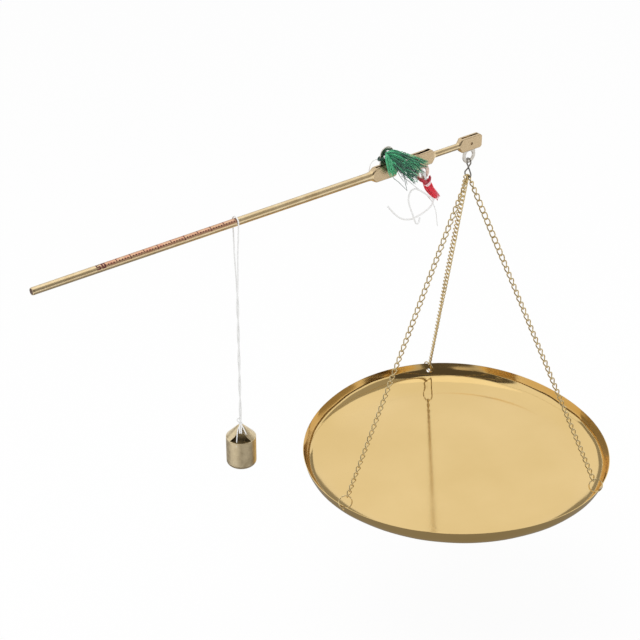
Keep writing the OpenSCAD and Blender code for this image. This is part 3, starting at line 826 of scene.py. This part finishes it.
jolt = random.Random(8)
gap = wire_r + link_wire / 2 + link_play
catch = ring_wire / 2 + link_wire / 2 + link_play
span = link_l - link_wire
for i, (name, (hand, face_on, stops)) in enumerate(zip(chain_names, lies)):
    start = hook_of(i)
    run = hole_of(i) - start
    way = run.normalized()
    turned = facing(run)
    full = run.length + gap + catch - 2 * ring_r - ring_seat
    pitch = (full - span) / (chain_links - 1)
    shape = link_line(link_l, link_w, hand * math.pi / 2)
    form = Form()
    top = start - gap * way
    for k in range(chain_links):
        spin = Matrix.Rotation(math.radians(face_on + turn_at(stops, k) + jolt.uniform(-3, 3)), 3, "Z")
        centre = top + way * (span / 2 + k * pitch)
        form.tube([centre + turned @ (spin @ p) for p in shape], link_wire / 2, 8, closed=True)
    form.piece(name + "_curb_chain", [gilt], "pan_set", name + "_chain")

# The three open rings: gilt wire bent round, put through the pan's wall and closed by hand.
# Each holds the last link of its chain over the lip.
opening = math.radians(8)
opening_at = math.radians(150)
ends_apart = 0.12 * mm
ring_steps = 60
for i, name in enumerate(chain_names):
    run = hook_of(i) - hole_of(i)
    turned = facing(run) @ Matrix.Rotation(ring_turns[i], 3, "Z")
    centre = hole_of(i) + run.normalized() * (ring_seat + ring_r)
    line = []
    for k in range(ring_steps + 1):
        a = opening_at + opening / 2 + (math.tau - opening) * k / ring_steps
        side = ends_apart * (k / ring_steps - 0.5)
        line.append(centre + turned @ Vector((ring_r * math.cos(a), side, ring_r * math.sin(a))))
    form = Form()
    form.tube(line, ring_wire / 2, 14)
    ring = form.piece(name + "_open_ring", [gilt], "pan_set", name + "_ring")
    soften(ring, 0.06 * mm)

# The pan: thin sheet brass spun to a shallow dish with a flat floor and a steep wall, then polished.
# The spinning leaves the wall a little uneven, and the lip stands slightly out of round, in three lobes.
pan_steps = 288
flat_r = 82 * mm
ease_r = 93.3 * mm
ease_angle = math.radians(20)
turn_r = 9.5 * mm
lobes_from = 88 * mm
hole_r = 1.3 * mm
wall_wander = 0.09 * mm
pan_brass = new_finish("spun_brass", (0.76, 0.55, 0.25), 0.10, Metallic=1.0)


def pan_profile(inner):
    """Points of the section from the middle to the lip, on the inner or the outer face."""
    row = [(share * flat_r, 0.0, 0.0) for share in (0.0, 0.02, 0.1, 0.25, 0.4, 0.55, 0.7, 0.85, 0.95, 1.0)]
    steps = 12
    for k in range(1, steps + 1):
        slope = ease_angle * (k - 0.5) / steps
        step = (ease_r - flat_r) / steps
        row.append((row[-1][0] + step, row[-1][1] + step * math.tan(slope), ease_angle * k / steps))
    foot = row[-1]
    for k in range(1, 17):
        a = ease_angle + (wall_angle - ease_angle) * k / 16
        row.append((foot[0] + turn_r * (math.sin(a) - math.sin(ease_angle)),
                    foot[1] + turn_r * (math.cos(ease_angle) - math.cos(a)), a))
    foot = row[-1]
    rest = pan_depth - foot[1]
    for k in range(1, 5):
        row.append((foot[0] + rest / math.tan(wall_angle) * k / 4, foot[1] + rest * k / 4, wall_angle))
    lift = sheet_t if inner else 0.0
    return [(x - lift * math.sin(a), z + lift * math.cos(a)) for x, z, a in row]


def unevenness(radius, height, turn):
    """How far the hand-spun wall wanders from true, in metres; it is widest half way up."""
    share = min(1.0, max(0.0, (radius - flat_r) / (pan_r - flat_r)))
    up = min(1.0, height / pan_depth)
    wave = math.sin(7 * turn + 2.1) + 0.8 * math.sin(13 * turn + 3 * up)
    wave += 0.5 * math.sin(23 * turn + 1 - 5 * up)
    return wall_wander * share * wave * (0.4 + 0.6 * math.sin(math.pi * up))


section = pan_profile(True) + pan_profile(False)[::-1]
pan_form = Form()
corners = []
for k in range(pan_steps):
    turn = math.tau * k / pan_steps
    for x, z in section[1:-1]:
        off = unevenness(x, z, turn)
        r = x - off + lobe(turn, (x - lobes_from) / (pan_r - lobes_from))
        corners.append(by_pan(r, turn, pan_low.z + z + 0.3 * off))
count = len(section) - 2
faces = []
for k in range(pan_steps):
    n = (k + 1) % pan_steps
    for j in range(count - 1):
        faces.append((k * count + j, k * count + j + 1, n * count + j + 1, n * count + j))
centre_top = len(corners)
corners += [by_pan(0, 0, pan_low.z + sheet_t), by_pan(0, 0, pan_low.z)]
for k in range(pan_steps):
    n = (k + 1) % pan_steps
    faces.append((centre_top, k * count, n * count))
    faces.append((centre_top + 1, n * count + count - 1, k * count + count - 1))
pan_form.add(corners, faces)
pan = pan_form.piece("spun_pan", [pan_brass], "pan_set", "pan")
drills = []
for i, a in enumerate(chain_angles):
    rise = math.sin(wall_angle)
    out = Vector((math.cos(a) * rise, math.sin(a) * rise, -math.cos(wall_angle)))
    drills.append(drill("ring_hole", hole_of(i), out * 2 * mm, hole_r))
cut(pan, drills)
soften(pan, 0.06 * mm)

# Turning marks run round the pan; they are rings in its own space, seen in the polish as fine lines.
place = node(pan_brass, "TexCoord", output="Object")
centred = node(pan_brass, "VectorMath", {0: place, 1: (pan_pin.x, 0, pan_low.z)}, operation="SUBTRACT")
flat = node(pan_brass, "VectorMath", {0: centred, 1: (1, 1, 0)}, operation="MULTIPLY")
from_middle = node(pan_brass, "VectorMath", {0: flat}, "Value", operation="LENGTH")
marks = product(pan_brass, from_middle, 2600.0)
lines = node(pan_brass, "TexNoise", {"W": marks, "Scale": 1.0, "Detail": 3.0}, "Fac", noise_dimensions="1D")
cloud = noise(pan_brass, (18, 18, 60), 3.0)
tones = ramp(pan_brass, cloud, [(0.3, (0.74, 0.53, 0.225)), (0.7, (0.79, 0.575, 0.26))])
feed(pan_brass, tones, "Base Color")
mixed = node(pan_brass, "Mix", {0: 0.4, 2: cloud, 3: lines})
feed(pan_brass, remapped(pan_brass, mixed, 0.3, 0.7, 0.06, 0.13), "Roughness")
bump(pan_brass, lines, 0.0000012)

# The poise's cord: one doubled cotton cord. Its bight goes over the arm at the zero mark, the two strands
# come together below and run down to the knot, and a loop passes from there through the poise's window.
saddle_low, saddle_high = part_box("poise_saddle")
zero_x = (saddle_low.x + saddle_high.x) / 2
saddle_r = saddle_high.y - cord_d / 2
cord_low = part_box("poise_cord")[0]
knot_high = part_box("poise_knot")[1]
poise_low, poise_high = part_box("poise")
poise_turn = math.radians(-38)
knot_d = 2.6 * cord_d
knot_z = knot_high.z - knot_d / 2
point_z = poise_high.z
strands_meet = 42 * mm


def lay_cord(form, line, share=1.0, sides=10, depth=0.09, closed=False):
    """Cord of three plies along a line; share is its thickness against the cord's own."""
    form.tube(line, cord_d / 2 * share, sides, plies=3, lay=3.2 * mm, ply_depth=depth, closed=closed)


saddle_form = Form()
line = []
bend_z = axis_z + 0.5 * mm
bend_steps = 32
for k in range(bend_steps + 1):
    a = math.pi * k / bend_steps
    line.append(Vector((zero_x, saddle_r * math.cos(a), bend_z + saddle_r * math.sin(a))))
lay_cord(saddle_form, line, sides=12)
saddle_form.piece("poise_saddle_cotton", [cotton], "saddle", "poise_saddle")

strand_form = Form()
waver = random.Random(11)
strand_steps = 260
strand_top = axis_z + 0.4 * mm
strand_lay = 34 * mm
sway_size = 0.44 * mm
for side in (1, -1):
    line = []
    lean = waver.uniform(0, 3)
    for k in range(strand_steps + 1):
        z = strand_top - k / strand_steps * (strand_top - cord_low.z)
        down = axis_z - z
        near = min(1.0, max(0.0, down / strands_meet))
        apart = saddle_r + (0.52 * cord_d - saddle_r) * near ** 0.9
        sway = sway_size * math.sin(down / (7 * mm) + lean) * min(1.0, down / (20 * mm)) * (1 - near)
        turn = math.tau * max(0.0, down - strands_meet) / strand_lay
        line.append(Vector((zero_x + side * apart * math.sin(turn) + sway,
                            side * apart * math.cos(turn) + 0.3 * sway, z)))
    lay_cord(strand_form, line, sides=12)
strand_form.piece("poise_cord_cotton", [cotton], "cord", "poise_cord")

# The knot: an overhand turn of the doubled cord, drawn tight, with a small bight and two cut tails.
# The cord's own loop comes down from it on both sides of the poise's point and through the window.
knot_form = Form()
about_poise = Matrix.Translation(Vector((zero_x, 0, point_z))) @ Matrix.Rotation(poise_turn, 4, "Z")
point_h = 7.5 * mm
point_r = 1.5 * mm
poise_r = (poise_high.y - poise_low.y) / 2
window_h = 4.9 * mm
out = Vector((0, point_h, poise_r - point_r)).normalized()
stand = 0.6 * cord_d
eave_z = window_h - point_h
eave = Vector((0, point_r + out.z / out.y * -eave_z, eave_z))
knot_up = knot_z - point_z


def about(points):
    """Places over the poise's point, turned with its window, for (x, y, z) points in metres."""
    return [about_poise @ Vector(p) for p in points]


for w in (-0.5 * cord_d, 0.5 * cord_d):
    half = [(w, 0.0, knot_up), (w, 0.55 * mm, knot_up - 0.9 * mm), (w, point_r, stand + 0.2 * mm)]
    half += [(w, eave.y * 0.6 + point_r * 0.4 + stand * out.y, eave_z * 0.6 + stand * out.z)]
    half += [(w, eave.y + stand * out.y, eave_z + stand * out.z), (w, eave.y, eave_z - stand)]
    mirror = [(x, -y, z) for x, y, z in reversed(half)]
    lay_cord(knot_form, smooth_line(about(half + [(w, 0.0, eave_z - stand)] + mirror), 5), 0.96)
for k, (tilt, spin, size) in enumerate(((12, 0, 1.0), (-18, 60, 0.92), (70, 20, 0.8), (65, 110, 0.78))):
    line = []
    turned = Matrix.Rotation(math.radians(spin), 3, "Z") @ Matrix.Rotation(math.radians(tilt), 3, "X")
    r = (knot_d - cord_d) / 2 * size
    centre = about([(0, 0, knot_up + (0.25 * (k % 2) - 0.12) * mm)])[0]
    for n in range(24):
        a = math.tau * n / 24
        line.append(centre + turned @ Vector((r * math.cos(a), r * math.sin(a), 0)))
    lay_cord(knot_form, line, closed=True)
bight = [(0, -0.5, 2.0), (-1.3, -0.6, 2.6), (-2.0, -0.5, 3.8), (-1.3, -0.4, 4.7), (-0.4, -0.3, 3.8),
         (0, -0.2, 2.3)]
lay_cord(knot_form, smooth_line(about(in_metres(bight)), 8), 0.85, depth=0.08)
tails = (
    [(0.2, -1.1, 1.0), (-0.6, -2.2, 0.4), (-1.6, -3.4, -1.6), (-2.0, -5.0, -4.4), (-2.2, -6.9, -7.2),
     (-2.2, -8.4, -9.4)],
    [(0.4, -1.0, 0.8), (1.2, -2.4, 0.2), (2.3, -3.6, -1.6), (3.2, -4.6, -3.2)])
for tail in tails:
    line = smooth_line(about(in_metres(tail)), 8)
    lay_cord(knot_form, line, 0.8, depth=0.1)
    frayed_end(knot_form, line, cord_d)
knot_form.piece("poise_knot_cotton", [cotton], "poise", "poise_knot")

# The poise: turned from brass bar, with a pointed top that is cut through to leave a bridge for the cord.
# The side is satin from the lathe and from handling, with its lower edge rounded.
rim_z = point_z - point_h
poise_h = rim_z - poise_low.z
round_r = 2.5 * mm
window_w = 12.4 * mm
poise_brass = brass_finish(
    "poise_brass", (0.82, 0.69, 0.46), (0.60, 0.48, 0.29), (0.26, 0.4), (260, 260, 5200), 0.000006, 260.0)
profile = [(0.0, -poise_h)]
for k in range(9):
    a = math.pi / 2 * k / 8
    profile.append((poise_r - round_r + round_r * math.sin(a), -poise_h + round_r - round_r * math.cos(a)))
profile += [(poise_r, -0.5 * poise_h), (poise_r, -0.35 * mm), (poise_r - 0.02 * mm, -0.14 * mm),
            (poise_r - 0.12 * mm, 0.04 * mm), (poise_r - 0.3 * mm, 0.2 * mm),
            (0.6 * poise_r, (1 - (0.6 * poise_r - point_r) / (poise_r - point_r)) * point_h),
            (point_r + 0.12 * mm, point_h - 0.1 * mm), (point_r - 0.15 * mm, point_h), (0.0, point_h)]
poise_sides = 128
at_rim = Matrix.Translation((zero_x, 0, rim_z)) @ Matrix.Rotation(poise_turn, 4, "Z")
ring_points = []
for x, z in profile[1:-1]:
    for k in range(poise_sides):
        a = math.tau * k / poise_sides
        ring_points.append(at_rim @ Vector((x * math.cos(a), x * math.sin(a), z)))
rows = len(profile) - 2
poise_form = Form()
poise_form.add(ring_points, band_faces(rows, poise_sides) + end_faces(rows, poise_sides))
poise = poise_form.piece("turned_poise", [poise_brass], "poise", "poise")
window = Form()
outline = [(-window_w / 2, 0.0), (window_w / 2, 0.0), (0.8 * mm, window_h), (-0.8 * mm, window_h)]
window.add([at_rim @ Vector((x, y, z)) for y in (-20 * mm, 20 * mm) for x, z in outline],
           [(0, 1, 2, 3), (7, 6, 5, 4), (0, 4, 5, 1), (1, 5, 6, 2), (2, 6, 7, 3), (3, 7, 4, 0)])
cut(poise, [loose_object("window", window)])
# The window's sill and the underside of the bridge get a dark, rough brass: painted shade inside the window
window_shade_brass = brass_finish(
    "window_painted_shade_brass", (0.34, 0.25, 0.11), (0.14, 0.10, 0.05), (0.4, 0.6), (900, 4000, 900), 0.00002, 900.0)
poise.data.materials.append(window_shade_brass)
for face in poise.data.polygons:
    sill = face.normal.z > 0.9 and abs(face.center.z - rim_z) < 0.02 * mm
    if sill or (face.normal.z < -0.1 and face.center.z > rim_z):
        face.material_index = 1
soften(poise, 0.12 * mm, 35)

# The green tassel: soft two-ply yarn, folded through the outer plate's eye so that it drapes over the beam.
# Most of it spreads towards the middle block, one lock drops on the near side, and a few strands hang free.
# The tassel's green comes in three tones: its own green, a lighter copy for painted highlights and a darker
# copy for painted shade.
green_yarn = toned_finish(
    "green_yarn", (0.02, 0.22, 0.10), 0.75, 420,
    [(0.25, (0.004, 0.09, 0.05)), (0.5, (0.012, 0.24, 0.10)), (0.78, (0.04, 0.38, 0.16))],
    0.00006, fuzz=9000, Sheen_Weight=0.5, Sheen_Roughness=0.4)
green_painted_highlight = toned_finish(
    "green_yarn_painted_highlight", (0.05, 0.42, 0.18), 0.75, 500,
    [(0.3, (0.03, 0.36, 0.16)), (0.75, (0.14, 0.62, 0.31))],
    0.00006, fuzz=9000, Sheen_Weight=0.5, Sheen_Roughness=0.4)
green_painted_shade = toned_finish(
    "green_yarn_painted_shade", (0.005, 0.055, 0.035), 0.8, 700,
    [(0.3, (0.002, 0.035, 0.024)), (0.75, (0.010, 0.11, 0.065))], Sheen_Weight=0.3)
greens = [green_yarn, green_painted_highlight, green_painted_shade]
yarn_d = 0.42 * mm
shake = random.Random(3)


def yarn(form, points, kind=0, diameter=yarn_d, wander=0.25, steps=7):
    """One strand of yarn through the points, in millimetres; kind picks its colour among the piece's."""
    loose = [Vector(points[0]) * mm]
    for p in points[1:]:
        loose.append((Vector(p) + Vector([shake.uniform(-wander, wander) for _ in range(3)])) * mm)
    line = smooth_line(loose, steps)
    form.tube(line, lambda t: diameter / 2 * (1 - 0.35 * t * t), 6, plies=2, lay=1.5 * mm, ply_depth=0.14,
              kind=kind, phase=shake.uniform(0, 6))


def along_rows(rows, f, stretch):
    """Places between two rows of (x, z) places, the share f of the way over, stretched from their start."""
    row = [(1 - f) * Vector(a) + f * Vector(b) for a, b in zip(*rows)]
    return [(row[0].x + (p.x - row[0].x) * stretch, row[0].y + (p.y - row[0].y) * stretch) for p in row]


green = Form()
drape = ([(-3.0, 3.2), (2.0, 3.6), (8.6, 0.4), (14.7, -3.2), (20.8, -6.2), (28.2, -10.2)],
         [(-2.6, 0.2), (-0.6, -2.4), (2.4, -6.6), (6.4, -11.0), (11.0, -15.6), (16.4, -20.8)])
lock = ([(-3.0, 2.4), (-4.0, -0.4), (-4.0, -4.2), (-3.0, -8.0), (-1.8, -11.4)],
        [(-1.6, 1.0), (0.6, -1.0), (2.2, -4.4), (3.0, -8.0), (3.2, -11.4)])
drape_strands = 136
for k in range(drape_strands):
    f = min(1.0, (k / (drape_strands - 1)) ** 1.1 + shake.uniform(-0.03, 0.03))
    layer = shake.uniform(0, 1)
    points = []
    for n, (x, z) in enumerate(along_rows(drape, f, shake.uniform(0.80, 1.05))):
        spread = 0.25 + 0.16 * n
        points.append((x + shake.uniform(-spread, spread), -2.2 - 2.6 * min(1, n / 2) - 1.5 * layer,
                       z + shake.uniform(-spread, spread) - 0.5 * layer))
    # Painted light and shade: strands at the top of the drape more often get the highlight green, lower ones
    # the shade green.
    pick = shake.random()
    kind = 1 if pick < 0.42 - 0.2 * f else 2 if pick > 0.72 - 0.2 * f else 0
    yarn(green, points, kind, diameter=0.46 * mm, wander=0.12)
for k in range(40):
    row = along_rows(lock, shake.random(), shake.uniform(0.86, 1.06))
    layer = shake.uniform(0, 1)
    points = [(x, -2.4 - 1.8 * min(1, n / 2) - 1.6 * layer, z) for n, (x, z) in enumerate(row)]
    # Most strands of the near lock get the painted highlight green.
    yarn(green, points, 1 if shake.random() < 0.6 else 0, diameter=0.46 * mm, wander=0.28)
# A few strands are folded back on themselves at the top, as the maker drew the bunch through
for k in range(9):
    x = 3.5 + 1.1 * k + shake.uniform(-0.4, 0.4)
    z = 3.2 - 0.55 * (x - 2) + shake.uniform(-0.3, 0.3)
    points = [(x - 3.0, -4.4, z - 0.2), (x - 0.4, -4.2, z + 0.9), (x + 0.9, -4.0, z + 0.5),
              (x + 0.5, -4.6, z - 0.8), (x - 1.4, -5.0, z - 1.6)]
    yarn(green, points, k % 3, diameter=0.4 * mm, wander=0.2)
hanging = (
    [(0.8, -4.2, -5.0), (0.8, -5.0, -12.4), (5.5, -5.0, -17.2), (11.8, -5.0, -24.4)],
    [(4.0, -4.6, -6.0), (8.4, -5.2, -13.0), (10.4, -5.2, -20.0), (11.9, -5.0, -24.6)],
    [(4.6, -4.6, -5.0), (8.8, -5.4, -13.0), (11.8, -5.2, -20.4)],
    [(2.6, -4.6, -6.0), (5.6, -5.2, -12.6), (9.4, -5.0, -18.0)],
    [(8.0, -4.8, -7.0), (13.0, -5.4, -15.6), (18.6, -5.0, -22.4)],
    [(10.0, -4.8, -7.0), (14.4, -5.4, -15.0), (18.0, -5.0, -21.4)],
    [(11.0, -4.8, -7.0), (16.4, -5.4, -15.2), (20.6, -5.0, -19.8)])
# The free strands all get the painted shade green.
for points in hanging:
    yarn(green, points, 2, diameter=0.42 * mm, wander=0.1, steps=10)
green.piece("green_tassel_yarn", greens, "lift", "green_tassel")

# The green tie: the tassel's own yarn where it goes through the eye and once round the plate's head.
# Its turns bind the bunch to the plate, and their ends go back into the tassel.
# The tie's turns are all in the painted shade green, for the shade round the eye.
tie = Form()
for k in range(16):
    a = math.tau * k / 16
    spread = Vector((1.05 * math.cos(a), 0, 1.05 * math.sin(a)))
    points = [Vector((0.2, 2.0, 0.0)) + 1.3 * spread, Vector((0.2, 0.9, 0.3)) + spread,
              Vector((0.2, -0.6, 0.2)) + spread, Vector((-0.2, -1.7, 0.2)) + 1.2 * spread,
              Vector((-0.4, -2.6, 0.0)) + 1.3 * spread]
    yarn(tie, points, 2, wander=0.1)
for k in range(5):
    off = 0.34 * (k - 2)
    lift_y = 0.22 * (k % 2)
    points = [(0.4, 1.3, 0.4 + off), (-0.9, 1.9 + lift_y, -0.6 + off), (-3.2, 2.1 + lift_y, -1.4 + off),
              (-5.2, 1.5 + lift_y, -1.6 + off), (-6.2 - lift_y, 0.0, -1.6 + off),
              (-5.4, -1.5 - lift_y, -1.0 + off), (-3.2, -2.0 - lift_y, -0.4 + off), (-1.0, -2.4, off)]
    yarn(tie, points, 2, wander=0.05)
tie.piece("green_tie_yarn", greens, "lift", "green_tie")

# The red tassel: a short bunch of fine rayon yarn hung from the inner plate, doubled over at its neck.
# Its strands lie close, so the bunch looks smooth and swells below the band before it comes to a point.
red_yarn = toned_finish(
    "red_yarn", (0.62, 0.012, 0.02), 0.6, 500,
    [(0.3, (0.62, 0.004, 0.022)), (0.5, (0.82, 0.010, 0.040)), (0.8, (0.90, 0.04, 0.08))],
    0.00005, fuzz=9000, Sheen_Weight=0.4, Sheen_Roughness=0.35)
crimson = toned_finish(
    "crimson_yarn", (0.25, 0.006, 0.02), 0.7, 600,
    [(0.3, (0.34, 0.004, 0.016)), (0.75, (0.58, 0.012, 0.045))], Sheen_Weight=0.3)
faded_red = toned_finish(
    "faded_red_yarn", (0.85, 0.35, 0.42), 0.7, 600, [(0.35, (0.80, 0.16, 0.24)), (0.7, (0.92, 0.60, 0.66))],
    Sheen_Weight=0.3)
inner_eye = inner_pin + reach * Vector((math.sin(inner_lean), 0, -math.cos(inner_lean)))
neck = inner_eye + Vector((2.6, 0, -6)) * mm
red_axis = Vector((10.5, 0, -14.5)).normalized()
red_side = Vector((0, 1, 0))
red_front = red_axis.cross(red_side)
red = Form()


def red_point(along, side, front):
    """A place in the red tassel, in millimetres: along its axis, towards +Y, and square to both."""
    return neck / mm + along * red_axis + side * red_side + front * red_front


for k in range(130):
    a = math.tau * shake.random()
    r = math.sqrt(shake.random())
    side, front = r * math.cos(a), r * math.sin(a)
    points = [red_point(0.4, 1.6 * side, 2.1 * front), red_point(5.0, 2.2 * side, 2.7 * front - 0.6),
              red_point(10.0, 1.8 * side, 2.0 * front - 0.9),
              red_point(15.4 + shake.uniform(-1.6, 0.8), 0.8 * side, 0.9 * front - 1.4)]
    yarn(red, points, 0, diameter=0.52 * mm, wander=0.12)
for k in range(30):
    fan = shake.uniform(-1, 1)
    points = [red_point(6.0, 1.2, 1.2), red_point(12.5, 1.6 + 0.4 * fan, 1.9 + 0.6 * fan),
              red_point(19.6 + shake.uniform(-2.5, 1.4), 1.6 + 0.5 * fan, 1.0 + 1.9 * fan)]
    yarn(red, points, (0, 1, 0, 2)[k % 4], diameter=0.44 * mm, wander=0.15)
for ear_x, ear_z in ((-6.4, 3.6), (1.4, 3.2)):
    for k in range(24):
        spread = Vector((shake.uniform(-0.6, 0.6), shake.uniform(-0.45, 0.45), shake.uniform(-0.6, 0.6)))
        root = neck / mm + Vector((0, -1.6, -0.4)) + spread
        tip = neck / mm + Vector((ear_x, -2.2, ear_z + shake.uniform(-0.6, 0.4))) + 1.3 * spread
        halfway = root.lerp(tip, 0.5) + Vector((0, -0.6, -0.3))
        yarn(red, [root, halfway, tip], 1, wander=0.1)
red.piece("red_tassel_yarn", [red_yarn, crimson, faded_red], "inner_lift", "red_tassel")

# The band round the red tassel's neck: pale pink thread, wound six times and tucked under itself.
# It binds the folded bunch and covers the ends of its tie.
pink = toned_finish(
    "pink_thread", (0.86, 0.62, 0.64), 0.8, 1500, [(0.3, (0.84, 0.50, 0.54)), (0.7, (0.90, 0.78, 0.78))],
    Sheen_Weight=0.3)
band = Form()
turns = 6
steps = 28
line = []
thread_r = 0.21 * mm
for k in range(turns * steps + 1):
    a = math.tau * k / steps
    line.append(red_point(1.0 + 1.9 * (k / (turns * steps)), 2.15 * math.cos(a), 2.3 * math.sin(a)) * mm)
band.tube(line, thread_r, 8, plies=2, lay=1.0 * mm, ply_depth=0.1)
band.piece("red_band_thread", [pink], "inner_lift", "red_band")

# The white tie: doubled cotton cord through the inner plate's eye, down both faces of the plate.
# It carries the red tassel, and its ends go under the pink band.
white_tie = Form()
tie_r = 0.42 * mm
for x in (-0.45, 0.45):
    points = []
    for s in (1, -1):
        up = [(1.7 + x, 0.6 * s, -5.6), (1.6 + x, 1.35 * s, -4.2), (1.0 + x, 1.45 * s, -2.4),
              (0.5 + x, 1.35 * s, -0.6), (0.4 + x, 0.8 * s, 0.5)]
        points += up[::s]
    line = smooth_line([inner_eye + Vector(p) * mm for p in points], 6)
    white_tie.tube(line, tie_r, 10, plies=3, lay=2.8 * mm, ply_depth=0.09)
white_tie.piece("red_tie_cotton", [cotton], "inner_lift", "red_tie")

# The room: a pale floor well below the pan, white sky all round, two soft lamps, and cards of several
# greys that only the metal sees, for the darker and lighter parts of a room.
scene = bpy.context.scene
scene.view_settings.view_transform = "Standard"


def room_mesh(name, corners, finish):
    mesh = bpy.data.meshes.new(name)
    mesh.from_pydata(corners, [], [(0, 1, 2, 3)])
    mesh.materials.append(finish)
    made = put_in_scene(name, mesh)
    made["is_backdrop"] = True
    return made


def level(low, high, z):
    """The corners of a level sheet."""
    return [(low[0], low[1], z), (high[0], low[1], z), (high[0], high[1], z), (low[0], high[1], z)]


def bare_finish(name):
    finish = bpy.data.materials.new(name)
    finish.use_nodes = True
    finish.node_tree.nodes.clear()
    return finish


def seen_directly(finish):
    """1 where a camera, mirror or glass ray looks at the surface."""
    rays = node(finish, "LightPath").node.outputs
    seen = rays["Is Camera Ray"]
    for kind in ("Is Glossy Ray", "Is Transmission Ray"):
        seen = node(finish, "Math", {0: seen, 1: rays[kind]}, operation="MAXIMUM")
    return seen


floor_z = -0.46
floor_finish = bare_finish("pale_floor")
matt = node(floor_finish, "BsdfDiffuse", {"Color": (0.94, 0.94, 0.94, 1)})
glow = node(floor_finish, "Emission", {"Color": (1, 1, 1, 1), "Strength": 1.0})
share = product(floor_finish, seen_directly(floor_finish), 0.86)
blend = node(floor_finish, "MixShader", {0: share, 1: matt, 2: glow})
node(floor_finish, "OutputMaterial", {"Surface": blend})
room_mesh("floor", level((-6, -6), (6, 6), floor_z), floor_finish)

world = bpy.data.worlds.new("room")
scene.world = world
world.use_nodes = True
world.node_tree.nodes.clear()
sky = node(world, "Background", {"Color": (1, 1, 1, 1), "Strength": 0.88})
white = node(world, "Background", {"Color": (1, 1, 1, 1), "Strength": 1.0})
shown = node(world, "MixShader", {0: seen_directly(world), 1: sky, 2: white})
node(world, "OutputWorld", {"Surface": shown})


def soft_lamp(name, place, target, width, height, power):
    data = bpy.data.lights.new(name, "AREA")
    data.shape = "RECTANGLE"
    data.size = width
    data.size_y = height
    data.energy = power
    lamp = put_in_scene(name, data)
    lamp.location = place
    lamp.rotation_euler = (Vector(target) - Vector(place)).to_track_quat("-Z", "Y").to_euler()
    lamp.visible_glossy = False


soft_lamp("key_lamp", (-0.9, -0.5, 1.5), (0, 0, -0.1), 0.9, 0.9, 9)
soft_lamp("side_lamp", (1.2, -0.8, 0.9), (0, 0, -0.1), 0.7, 0.7, 3)


def card(name, corners, grey):
    """A card that shows in the metal alone; grey is what the metal sees."""
    finish = bare_finish(name)
    glow = node(finish, "Emission", {"Color": (*grey, 1), "Strength": 1.0})
    node(finish, "OutputMaterial", {"Surface": glow})
    made = room_mesh(name, corners, finish)
    made.visible_camera = False
    made.visible_diffuse = False
    made.visible_shadow = False


def standing_cards(name, turns, distance, lowest, highest, grey):
    """A row of upright cards round the pan, between two angles above its floor, all in degrees."""
    low, high = [pan_low.z + distance * math.tan(math.radians(a)) for a in (lowest, highest)]
    low_row, high_row = [[by_pan(distance, math.radians(a), z) for a in turns] for z in (low, high)]
    for k in range(len(turns) - 1):
        card(f"{name}_{k}", [low_row[k], low_row[k + 1], high_row[k + 1], high_row[k]], grey)


standing_cards("dark_room_card", (178, 196, 214, 232, 250, 268, 284), 1.25, 4, 62, (0.10, 0.09, 0.08))
standing_cards("dim_front_card", (186, 210, 232, 254, 276), 1.6, -1, 5, (0.62, 0.58, 0.52))
standing_cards("dim_side_card", (284, 306, 328, 352), 1.5, 14, 64, (0.42, 0.40, 0.37))
standing_cards("dim_back_card", (20, 45, 70, 95, 120), 1.7, 6, 21, (0.34, 0.33, 0.31))
card("top_light_card", level((-0.45, -0.4), (0.55, 0.5), 1.2), (1.2, 1.19, 1.16))
card("table_card", level((-0.46, -0.5), (0.56, 0.5), -0.44), (0.30, 0.29, 0.28))

size = {"cad": [list(c) for c in cad_box], "visual": [list(c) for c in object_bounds()]}
